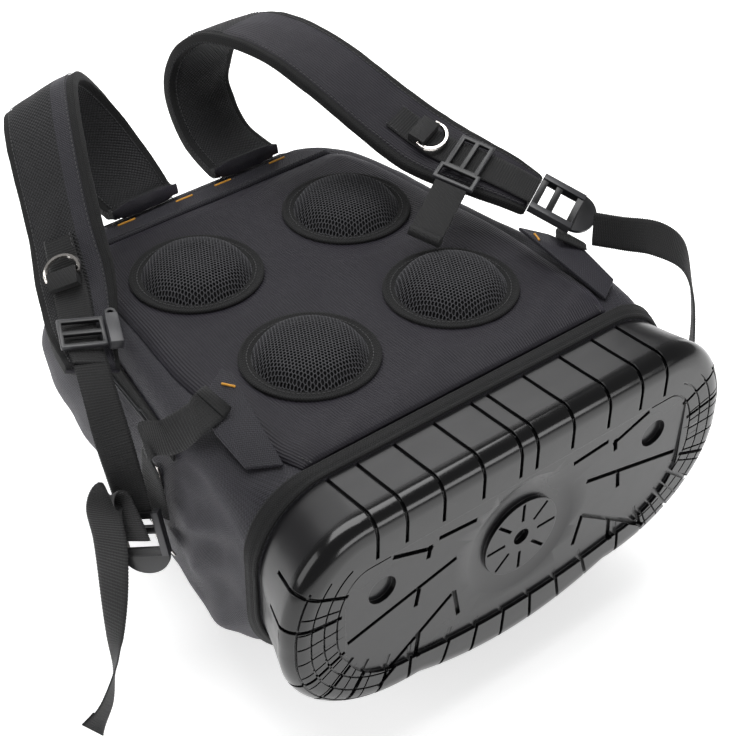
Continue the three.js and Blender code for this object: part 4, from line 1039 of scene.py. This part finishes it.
strapSet = {"wide": 60, "thick": 12, "arch": 92, "webWide": 25, "webThick": 1.8, "webGap": 0.7,
            "webStart": 19 / 28}
rightRows = [
    # x, along, up, yaw, pitch
    (0.247, 0.955, -0.075, 0, 0), (0.247, 0.984, -0.11, 0, 0), (0.242, 1.065, -0.02, -1, -8),
    (0.252, 1.125, 0.27, 1, -13), (0.29, 1.128, 0.6, 5, -12), (0.34, 1.08, 0.88, 10, -8),
    (0.39, 1.005, 1.0, 15, -3),
    (0.45, 0.92, 0.99, 16, 1), (0.5, 0.84, 0.9, 15, 4), (0.55, 0.77, 0.77, 15, 6), (0.6, 0.708, 0.64, 16, 8),
    (0.65, 0.65, 0.53, 18, 11), (0.7, 0.593, 0.46, 20, 14), (0.755, 0.538, 0.42, 23, 15),
    (0.82, 0.485, 0.36, 26, 15),
    (0.885, 0.438, 0.27, 29, 13),
]
leftRows = [
    (-0.28, 0.955, -0.07, 0, 0), (-0.285, 0.984, -0.11, 0, 0), (-0.305, 1.035, 0.04, -2, 16),
    (-0.355, 1.08, 0.3, -8, 26),
    (-0.43, 1.1, 0.58, -17, 30), (-0.515, 1.09, 0.81, -24, 30), (-0.6, 1.05, 0.92, -30, 29),
    (-0.67, 0.993, 0.86, -36, 28),
    (-0.725, 0.933, 0.7, -42, 29), (-0.765, 0.883, 0.52, -47, 29), (-0.8, 0.838, 0.34, -49, 27),
    (-0.84, 0.792, 0.18, -46, 22), (-0.885, 0.745, 0.06, -38, 14), (-0.94, 0.695, -0.03, -29, 4),
    (-0.99, 0.645, -0.08, -22, -7), (-1.035, 0.59, -0.09, -16, -14),
]


def stations(rows, scales):
    points, widths = [], []
    for x, along, up, yaw, pitch in rows:
        a, b = math.radians(yaw), math.radians(pitch)
        points.append((x * scales[0], along * scales[1], up * scales[2]))
        widths.append((math.cos(b) * math.cos(a), math.cos(b) * math.sin(a), math.sin(b)))
    return np.array(points), np.array(widths)


def smoothPoint(points, t):
    # A point of the uniform Catmull-Rom curve through the points.
    last = len(points) - 1
    run = np.clip(t, 0, 1) * last
    i = min(int(run), last - 1)
    w = run - i
    p1, p2 = points[i], points[i + 1]
    p0 = points[i - 1] if i > 0 else 2 * p1 - p2
    p3 = points[i + 2] if i + 2 <= last else 2 * p2 - p1
    return 0.5 * (
        2 * p1 + (p2 - p0) * w + (2 * p0 - 5 * p1 + 4 * p2 - p3) * w**2 + (3 * p1 - p0 - 3 * p2 + p3) * w**3
    )


def bandAt(band, t):
    points, widths = band
    at = smoothPoint(points, t)
    along = unit(smoothPoint(points, t + 1e-3) - smoothPoint(points, t - 1e-3))
    across = smoothPoint(widths, t)
    across = unit(across - along * (across @ along))
    return at, along, across, np.cross(along, across)


strapScales = (bagSet["half"], bagSet["length"], strapSet["arch"])
webScales = (bagSet["half"], bagSet["length"], bagSet["depth"])
straps = {"left": stations(leftRows, strapScales), "right": stations(rightRows, strapScales)}
padLift = strapSet["thick"] / 2 + strapSet["webGap"] + strapSet["webThick"] / 2
shifts = {"left": -2.5, "right": -1.5}


def padSections(band, steps=190):
    # A crowned pad with a bound edge: top cloth, edge tape and mesh underside.
    half, thick = strapSet["wide"] / 2, strapSet["thick"] / 2
    top = np.linspace(-1, 1, 25)
    edgeShare = 1 - 5.5 / half
    crown = np.where(np.abs(top) < edgeShare, 1 - 0.16 * (np.abs(top) / edgeShare) ** 3, 0.66)
    u = np.concatenate([top, [1.0, 1.0], top[::-1], [-1.0, -1.0]])
    v = np.concatenate([crown, [0.42, -0.42], -crown, [-0.42, 0.42]])
    u = u * np.where(np.abs(v) < 0.5, 1.0, 0.985)
    slots = np.zeros(len(u), np.int32)
    slots[24:27] = 1
    slots[51:54] = 1
    slots[:2] = 1
    slots[22:24] = 1
    slots[27:52] = 2
    slots[27:29] = 1
    slots[49:51] = 1
    rows = []
    for t in np.linspace(0, 1, steps):
        at, along, across, out = bandAt(band, t)
        taper = 1 + (0.62 - 1) * max(0.0, t * 4 - 3)
        ends = math.sqrt(max(0.0, 1 - (max(0.0, t - 0.985) / 0.015) ** 2)) * 0.6 + 0.4
        rows.append(at + np.outer(u * half * taper, across) + np.outer(v * thick * ends, out))
    return np.array(rows), slots


padFolds = {
    "right": [dict(a=(40, 442, 20), b=(84, 446, 30), wide=7, high=-1.6),
              dict(a=(90, 350, 96), b=(60, 420, 92), wide=10, high=0.8)],
    "left": [dict(a=(-110, 425, 80), b=(-70, 428, 60), wide=8, high=-1.4),
             dict(a=(-150, 330, 32), b=(-120, 345, 50), wide=6, high=-1.0)],
}


def makePad(side):
    sections, slots = padSections(straps[side])
    lift = (
        0.45 * bumpField(sections, 24, 9)
        + 0.2 * bumpField(sections, 8, 10)
        + foldField(sections, padFolds[side])
    )
    sections = sections + loopNormals(sections) * lift[..., None]
    t = np.linspace(0, 1, len(sections) - 1)[:, None]
    across = np.arange(len(slots))[None]
    top = slots[None] == 0
    # Left: mesh with a woven band along its inner side. Right: mesh near the root, then woven cloth.
    mesh = (across < 17) if side == "left" else (t < 0.38)
    faceSlots = np.where(top & mesh, 2, np.where(top & (side == "left"), 3, slots[None]))
    mesh = loftMesh(
        f"shoulderPad_{side}", sections, [panelCloth, bindingTape, spacerCloth, shellCloth], faceSlots
    )
    finish(linkObject(f"shoulderPad_{side}", mesh), [f"shoulder_pad_{side}"])


for side in ("left", "right"):
    makePad(side)
print("shoulder pads")

webSet = {"rib": 1.9, "ribHigh": 0.16, "scallop": 0.22, "columns": 13}


def webSections(band, start, end, lift=0.0, shift=0.0, wide=25.0, thick=1.8):
    # Flat webbing with its cross ribs and scalloped edges.
    probe = np.array([bandAt(band, t)[0] for t in np.linspace(start, end, 60)])
    length = np.linalg.norm(np.diff(probe, axis=0), axis=1).sum()
    steps = max(24, int(length / webSet["rib"] * 5))
    u = np.linspace(-1, 1, webSet["columns"])
    edge = np.sqrt(np.clip(1 - np.abs(u) ** 8, 0, 1))
    rows = []
    for t in np.linspace(0, 1, steps):
        at, along, across, out = bandAt(band, start + (end - start) * t)
        wave = math.cos(2 * math.pi * t * length / webSet["rib"])
        half = wide / 2 + webSet["scallop"] * wave - webSet["scallop"]
        rise = thick / 2 * (0.35 + 0.65 * edge) + webSet["ribHigh"] * wave * edge - webSet["ribHigh"]
        centre = at + out * lift + across * shift
        over = centre + np.outer(u * half, across) + np.outer(rise, out)
        under = centre + np.outer(u[::-1] * half, across) - np.outer(rise[::-1], out)
        rows.append(np.concatenate([over, under]))
    return np.array(rows)


def makeWeb(name, node, band, start=0.0, end=1.0, **more):
    mesh = loftMesh(name, webSections(band, start, end, **more), [webbingWeave])
    return finish(linkObject(name, mesh), [node])


for side in ("left", "right"):
    makeWeb(f"strapWebbing_{side}", f"strap_webbing_{side}", straps[side], strapSet["webStart"], 1.0,
            lift=padLift,
            shift=shifts[side])

padEnd = bandAt(straps["left"], 1.0)
dropStart = padEnd[0] + padEnd[3] * padLift + padEnd[2] * shifts["left"] + padEnd[1] * 1.8
dropPoints, dropWidths = stations(
    [(-1.09, 0.52, -0.06, -20, -14), (-1.115, 0.475, -0.15, -30, -5), (-1.12, 0.445, -0.28, -42, 3),
     (-1.12, 0.425, -0.4, -50, 4)],
    webScales,
)
leftDrop = (np.vstack([dropStart, dropPoints]), np.vstack([padEnd[2], dropWidths]))
makeWeb("strapDrop_left", "strap_drop_left", leftDrop)

webRuns = {
    "lower_webbing_left": [
        (-0.825, 0.345, 0.084, -140, -22), (-0.92, 0.342, 0.05, -130, -38), (-1.0, 0.375, -0.045, -88, -54),
        (-1.045, 0.418, -0.1, -100, -58), (-1.035, 0.425, -0.21, -95, -40), (-1.035, 0.42, -0.34, -82, -16),
        (-1.04, 0.418, -0.44, -72, 0)],
    "lower_webbing_right": [(0.86, 0.32, 0.055, -40, -22), (0.893, 0.336, 0.045, -40, -24),
                            (0.935, 0.353, 0.02, -42, -28)],
    "free_end_left": [
        (-1.157, 0.4075, -0.49, -50, 4), (-1.18, 0.415, -0.38, -48, 4), (-1.205, 0.43, -0.29, -46, 4),
        (-1.24, 0.43, -0.34, -46, 2), (-1.235, 0.427, -0.49, -52, -2), (-1.25, 0.423, -0.69, -66, 2),
        (-1.3, 0.398, -0.86, -88, 16), (-1.35, 0.365, -0.93, -112, 34), (-1.44, 0.328, -0.995, -145, 32),
        (-1.54, 0.31, -1.05, -170, 18)],
    "free_end_right": [
        (0.985, 0.322, 0.07, 60, 60), (1.02, 0.265, 0.1, 48, 66), (1.085, 0.21, 0.115, 32, 46),
        (1.18, 0.18, 0.04, 42, 22),
        (1.23, 0.165, -0.11, 49, 1), (1.24, 0.15, -0.29, 48, -10), (1.23, 0.14, -0.475, 55, -10),
        (1.22, 0.135, -0.65, 62, -6)],
}
hemSet = {"free_end_left": (0.945, 1.0), "free_end_right": (0.95, 1.0), "lower_webbing_left": (0.0, 0.075)}
for node, rows in webRuns.items():
    makeWeb(node.replace("_webbing", "Webbing").replace("_end", "End"), node, stations(rows, webScales))
for node, (start, end) in hemSet.items():
    hem = webSections(stations(webRuns[node], webScales), start, end, lift=1.35, wide=24.4, thick=1.2)
    finish(linkObject(f"hem_{node}", loftMesh(f"hem_{node}", hem, [webbingWeave])))
print("webbing")

# Mesh pads: a dome of hexagonal net over a dark cloth, with a bound flange

def netTree():
    # The net: the duals of small triangles become threads round six-sided holes.
    tree = bpy.data.node_groups.new("hexNet", "GeometryNodeTree")
    face = tree.interface
    face.new_socket("Geometry", in_out="INPUT", socket_type="NodeSocketGeometry")
    face.new_socket("Thread", in_out="INPUT", socket_type="NodeSocketFloat")
    face.new_socket("Cloth", in_out="INPUT", socket_type="NodeSocketMaterial")
    face.new_socket("Geometry", in_out="OUTPUT", socket_type="NodeSocketGeometry")
    given = addNode(tree, "NodeGroupInput")
    dual = addNode(
        tree, "GeometryNodeDualMesh", {"Mesh": given.outputs["Geometry"], "Keep Boundaries": False}
    )
    lines = addNode(tree, "GeometryNodeMeshToCurve", {"Mesh": dual.outputs["Dual Mesh"]})
    section = addNode(
        tree, "GeometryNodeCurvePrimitiveCircle", {"Resolution": 4, "Radius": given.outputs["Thread"]}
    )
    threads = addNode(
        tree,
        "GeometryNodeCurveToMesh",
        {"Curve": lines.outputs["Curve"], "Profile Curve": section.outputs["Curve"]},
    )
    real = addNode(tree, "GeometryNodeRealizeInstances", {"Geometry": threads.outputs["Mesh"]})
    cloth = addNode(
        tree,
        "GeometryNodeSetMaterial",
        {"Geometry": real.outputs["Geometry"], "Material": given.outputs["Cloth"]},
    )
    smooth = addNode(tree, "GeometryNodeSetShadeSmooth", {0: cloth.outputs["Geometry"]})
    addNode(tree, "NodeGroupOutput", {"Geometry": smooth.outputs[0]})
    return tree


def runNodes(piece, tree, values):
    # Evaluates the tree on the piece once and keeps the mesh that it makes.
    modifier = piece.modifiers.new("maker", "NODES")
    modifier.node_group = tree
    for item in tree.interface.items_tree:
        if item.item_type == "SOCKET" and item.in_out == "INPUT" and item.name in values:
            modifier[item.identifier] = values[item.name]
    piece.update_tag()
    depsgraph = bpy.context.evaluated_depsgraph_get()
    made = bpy.data.meshes.new_from_object(piece.evaluated_get(depsgraph))
    piece.modifiers.clear()
    piece.data = made
    return made


hexNet = netTree()
domeProfile = [(0, 17), (16.4, 16.5), (29.2, 13.2), (36.3, 7.1), (39, 2.2), (44, -1.5)]


def padFrame(place):
    x, along = meshPadSet["places"][place]
    y = bodyFoot + along * bodySpan
    slope = math.atan2(float(panelHeight(y + 1) - panelHeight(y - 1)), 2)
    at = np.array(
        [x * bagSet["half"], y, float(panelHeight(y)) + 2 * bagSet["seamGap"] + panelSet["thick"] + 0.1]
    )
    along = np.array([0, math.cos(slope), math.sin(slope)])
    return at, np.array([1, 0, 0]), along, np.array([0, -math.sin(slope), math.cos(slope)])


def makeMeshPad(place):
    at, across, along, out = padFrame(place)
    turns = np.linspace(0, 2 * math.pi, 97)[:-1]
    radius, dome, flange = meshPadSet["radius"], meshPadSet["dome"], meshPadSet["flange"]
    # Under the net: a matt cloth dome, and the flange with its rolled edge and its groove by the dome.
    profile = [(0.4, meshPadSet["rise"] - 0.7)] + [(r, h - 0.7) for r, h in domeProfile[1:4]]
    profile += [(dome - 0.4, 1.3), (dome + 0.8, 1.0), (dome + 1.9, 1.7), (dome + 4.5, 2.1), (radius - 3.4, 1.9),
                (radius - 2.3, 2.5), (radius - 0.9, 2.6), (radius, 1.6), (radius - 0.3, 0.2), (radius - 2.5, 0)]
    rings = []
    for r, h in profile:
        wave = 1 + 0.006 * np.sin(3 * turns + r) if r > dome else 1
        rings.append(
            at
            + (r * wave * np.cos(turns))[:, None] * across
            + (r * wave * np.sin(turns))[:, None] * along
            + h * out
        )
    slots = np.array([0] * 4 + [1] * (len(profile) - 5))[:, None]
    mesh = loftMesh(f"meshPad_{place}", np.array(rings), [padCloth, bindingTape], slots)
    base = linkObject(f"meshPad_{place}", mesh)
    finish(base, [f"mesh_pad_{place}"])
    # Net of six-sided holes, laid over the dome
    cell = meshPadSet["cell"]
    work = bmesh.new()
    grid = {}
    count = int(dome / cell) + 2
    tall = int((dome + 5) / cell / 0.866) + 1
    for row in range(-tall, tall + 1):
        for column in range(-count, count + 1):
            x, y = (column + 0.5 * (row % 2)) * cell, row * cell * 0.866
            r = math.hypot(x, y)
            if r < dome + 4:
                height = float(curveRow([p[0] for p in domeProfile], [p[1] for p in domeProfile], [r])[0])
                spot = at + x * across + y * along + (height - 0.2) * out
                grid[row, column] = work.verts.new(toRow(spot))
    for (row, column), vert in grid.items():
        odd = row % 2
        for step in ((0, 1, 1, odd), (1, odd, 1, odd - 1)):
            one = grid.get((row + step[0], column + step[1]))
            two = grid.get((row + step[2], column + step[3]))
            if one and two:
                work.faces.new((vert, one, two))
    net = bpy.data.meshes.new(f"meshNet_{place}")
    work.to_mesh(net)
    work.free()
    piece = linkObject(f"meshNet_{place}", net)
    runNodes(piece, hexNet, {"Thread": meshPadSet["thread"] * mm, "Cloth": netCloth})
    finish(piece)


for place in meshPadSet["places"]:
    makeMeshPad(place)
print("mesh pads")

# Hardware and small cloth parts: the solids' own forms with their edges rounded


def roundedCopy(node, name, material, radius=0.5, segments=2, angle=26, body="pack"):
    work = bmesh.new()
    work.from_mesh(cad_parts[node].data)
    bmesh.ops.remove_doubles(work, verts=work.verts, dist=2e-5)
    bmesh.ops.dissolve_limit(work, angle_limit=math.radians(2), verts=work.verts, edges=work.edges)
    bmesh.ops.recalc_face_normals(work, faces=work.faces)
    if radius:
        edges = [
            e for e in work.edges if len(e.link_faces) == 2 and e.calc_face_angle(0) > math.radians(angle)
        ]
        bmesh.ops.bevel(
            work,
            geom=edges,
            offset=radius * mm,
            segments=segments,
            profile=0.5,
            affect="EDGES",
            clamp_overlap=True,
        )
    run = work.loops.layers.uv.new("run")
    for face in work.faces:
        n = [abs(c) for c in face.normal]
        drop = n.index(max(n))
        keep = [k for k in range(3) if k != drop]
        for loop in face.loops:
            loop[run].uv = (loop.vert.co[keep[0]] / mm, loop.vert.co[keep[1]] / mm)
    mesh = bpy.data.meshes.new(name)
    work.to_mesh(mesh)
    work.free()
    mesh.materials.append(material)
    mesh.polygons.foreach_set("material_index", np.zeros(len(mesh.polygons), np.int32))
    mesh.polygons.foreach_set("use_smooth", np.ones(len(mesh.polygons), bool))
    mesh.set_sharp_from_angle(angle=math.radians(50))
    return finish(linkObject(name, mesh), [node], body=body)


hardwareSet = [
    # node, name, material, slot, edge radius
    ("chest_slider_left", "chestSliderLeft", nylon, "buckle", 0.7),
    ("chest_slider_right", "chestSliderRight", nylon, "buckle", 0.7),
    ("chest_hook", "chestHook", nylon, "buckle", 0.7),
    ("ladder_lock_left", "ladderLockLeft", nylon, "buckle", 0.6),
    ("ladder_lock_right", "ladderLockRight", nylon, "buckle", 0.6),
    ("tape_clip", "tapeClip", steel, "chrome", 0.35),
    ("clip_rivet", "clipRivet", steel, "chrome", 0.3),
    ("ring_keeper_left", "ringKeeperLeft", webbingWeave, "tape", 0.5),
    ("ring_keeper_right", "ringKeeperRight", webbingWeave, "tape", 0.5),
    ("chest_webbing", "chestWebbing", webbingWeave, "tape", 0.4),
    ("wing_left", "wingLeft", shellCloth, "fabric", 0.8),
    ("wing_right", "wingRight", shellCloth, "fabric", 0.8),
    ("main_zip", "mainZip", bindingTape, "tape", 0.4),
]
for node, name, material, slot, radius in hardwareSet:
    roundedCopy(node, name, material, radius)
for side in ("left", "right"):
    roundedCopy(f"d_ring_{side}", f"dRing_{side}", steel, 0, body=f"d_ring_{side}")
print("hardware and small cloth parts")

# Stitching


def stitchTree():
    # Stitches along a line: one short rounded thread at each step, turned along the line.
    tree = bpy.data.node_groups.new("stitches", "GeometryNodeTree")
    face = tree.interface
    face.new_socket("Geometry", in_out="INPUT", socket_type="NodeSocketGeometry")
    for name in ("Pitch", "Length", "Thread"):
        face.new_socket(name, in_out="INPUT", socket_type="NodeSocketFloat")
    face.new_socket("Finish", in_out="INPUT", socket_type="NodeSocketMaterial")
    face.new_socket("Geometry", in_out="OUTPUT", socket_type="NodeSocketGeometry")
    given = addNode(tree, "NodeGroupInput")
    line = addNode(tree, "GeometryNodeMeshToCurve", {"Mesh": given.outputs["Geometry"]})
    points = addNode(
        tree,
        "GeometryNodeCurveToPoints",
        {"Curve": line.outputs["Curve"], "Length": given.outputs["Pitch"]},
        mode="LENGTH",
    )
    ball = addNode(tree, "GeometryNodeMeshUVSphere", {"Segments": 6, "Rings": 6, "Radius": 0.5})
    size = addNode(
        tree,
        "ShaderNodeCombineXYZ",
        {"X": given.outputs["Thread"], "Y": given.outputs["Thread"], "Z": given.outputs["Length"]},
    )
    copies = addNode(
        tree,
        "GeometryNodeInstanceOnPoints",
        {
            "Points": points.outputs["Points"],
            "Instance": ball.outputs["Mesh"],
            "Rotation": points.outputs["Rotation"],
            "Scale": size.outputs["Vector"],
        },
    )
    real = addNode(tree, "GeometryNodeRealizeInstances", {"Geometry": copies.outputs["Instances"]})
    cloth = addNode(
        tree,
        "GeometryNodeSetMaterial",
        {"Geometry": real.outputs["Geometry"], "Material": given.outputs["Finish"]},
    )
    smooth = addNode(tree, "GeometryNodeSetShadeSmooth", {0: cloth.outputs["Geometry"]})
    addNode(tree, "NodeGroupOutput", {"Geometry": smooth.outputs[0]})
    return tree


stitches = stitchTree()
stitchSet = {"pitch": 3.4, "length": 2.9, "thread": 0.75}


def sewLines(name, lines, finishMaterial, **change):
    # One mesh for all the lines, each a list of points in the bag's millimetres.
    spec = {**stitchSet, **change}
    places, edges = [], []
    for line in lines:
        start = len(places)
        places += toRow(line).tolist()
        edges += [(start + i, start + i + 1) for i in range(len(line) - 1)]
    mesh = bpy.data.meshes.new(name)
    mesh.from_pydata(places, edges, [])
    piece = linkObject(name, mesh)
    values = {"Pitch": spec["pitch"] * mm, "Length": spec["length"] * mm, "Thread": spec["thread"] * mm}
    runNodes(piece, stitches, {**values, "Finish": finishMaterial})
    return finish(piece)


def onPad(side, u, start, end, lift=0.95, steps=120):
    band = straps[side]
    half, thick = strapSet["wide"] / 2, strapSet["thick"] / 2
    line = []
    for t in np.linspace(start, end, steps):
        at, along, across, out = bandAt(band, t)
        taper = 1 + (0.62 - 1) * max(0.0, t * 4 - 3)
        line.append(at + across * u * half * taper + out * thick * lift)
    return line


def onWeb(side, offset, start, end, steps=80):
    line = []
    for t in np.linspace(start, end, steps):
        at, along, across, out = bandAt(straps[side], t)
        line.append(at + out * (padLift + 1.05) + across * (shifts[side] + offset))
    return line


def onPanel(points, lift=0.3):
    return [(x, y, float(panelHeight(y)) + bagSet["seamGap"] + panelSet["thick"] + lift) for x, y in points]


def ringPoints(centre, radius, steps=60):
    at, across, along, out = padFrame(centre)
    turns = np.linspace(0, 2 * math.pi, steps)
    return [at + radius * math.cos(t) * across + radius * math.sin(t) * along + 2.2 * out for t in turns]


seams = []
for side in ("left", "right"):
    seams += [onPad(side, 0.8, 0.02, 0.985, 0.86), onPad(side, -0.8, 0.02, 0.985, 0.86)]
    seams += [onPad(side, 0.8, 0.02, 0.985, -0.86), onPad(side, -0.8, 0.02, 0.985, -0.86)]
    seams += [onWeb(side, 11, strapSet["webStart"], 0.7, 60), onWeb(side, -11, strapSet["webStart"], 0.7, 60)]
seams += [ringPoints(place, meshPadSet["dome"] + 4.6) for place in meshPadSet["places"]]
sewLines("darkSeams", seams, blackThread)

def bandPoint(x, y):
    return (x, y, float(panelHeight(y)) + bagSet["seamGap"] + bandSet["thick"] + 0.35)


wingTrees = {side: treeOf(bpy.data.objects[f"wing{side.capitalize()}"].data) for side in ("left", "right")}
bodyTree = treeOf(bpy.data.objects["bodyCloth"].data)
zipTree = treeOf(bpy.data.objects["mainZip"].data)
tackSet = {"across": (-70, -18, 18, 70), "up": 378.5, "half": 7}
tacks = [[bandPoint(x - tackSet["half"], tackSet["up"]), bandPoint(x + tackSet["half"], tackSet["up"])]
         for x in tackSet["across"]]
tacks.append(layOn([(-139, 149, 20), (-134, 140, 20)], wingTrees["left"], 0.5))
tacks.append(layOn([(139, 149, 20), (134, 140, 20)], wingTrees["right"], 0.5))
sewLines("yellowBartacks", tacks, yellowThread, pitch=0.8, length=1.7, thread=1.9)
sideLine = [
    np.array((-187, 252, -80)) * (1 - k) + np.array((-168, 292, -120)) * k for k in np.linspace(0, 1, 12)
]
sewLines(
    "yellowSideStitch", [layOn(sideLine[:5], bodyTree, 0.4)], yellowThread, pitch=4.4, length=3.6, thread=1.0
)

bandLines = [[bandPoint(x, y) for x in np.linspace(-half, half, 60)] for y, half in ((366, 108), (383, 84))]
panelEdge = onPanel([(0.955 * h * bagSet["half"], bodyFoot + s * bodySpan) for s, h in panelRows], -0.2)
edgeLines = [panelEdge, [(-x, y, z) for x, y, z in panelEdge]]
sewLines("bandSeams", bandLines + edgeLines, blackThread, pitch=3.0, length=2.5, thread=0.7)

# Zip: two rows of coils along the middle of its tape
zipSet = {"plane": -34, "from": 0.31, "apart": 1.1}


def zipPath(shift):
    left = []
    for share in np.linspace(zipSet["from"], 0.985, 120):
        plan = planAt(share)
        left.append((-plan["half"] - plan["swell"], bodyFoot + share * bodySpan, zipSet["plane"] + shift))
    top = [(x, left[-1][1] + 6, zipSet["plane"] + shift) for x in np.linspace(left[-1][0], -left[-1][0], 60)]
    path = left + top[1:-1] + [(-x, y, z) for x, y, z in left[::-1]]
    return layOn(path, zipTree, 0.35)


coils = [zipPath(shift) for shift in (-zipSet["apart"], zipSet["apart"])]
sewLines("zipCoils", coils, nylon, pitch=1.3, length=1.0, thread=1.7)
print("stitching")

# Floor

floorSet = {"size": 30.0, "color": "#f4f4f4", "glow": 0.6}


def makeFloor():
    material, tree, surface = newMaterial("paleFloor", **{
        "Base Color": hexColor(floorSet["color"]),
        "Roughness": 0.9,
        "Specular IOR Level": 0.0,
        "Emission Color": (1, 1, 1, 1),
        "Emission Strength": floorSet["glow"],
    })
    half = floorSet["size"] / 2
    mesh = bpy.data.meshes.new("floor")
    corners = [(-half, -half, 0), (half, -half, 0), (half, half, 0), (-half, half, 0)]
    mesh.from_pydata(corners, [], [(0, 1, 2, 3)])
    mesh.materials.append(material)
    linkObject("floor", mesh)


makeFloor()
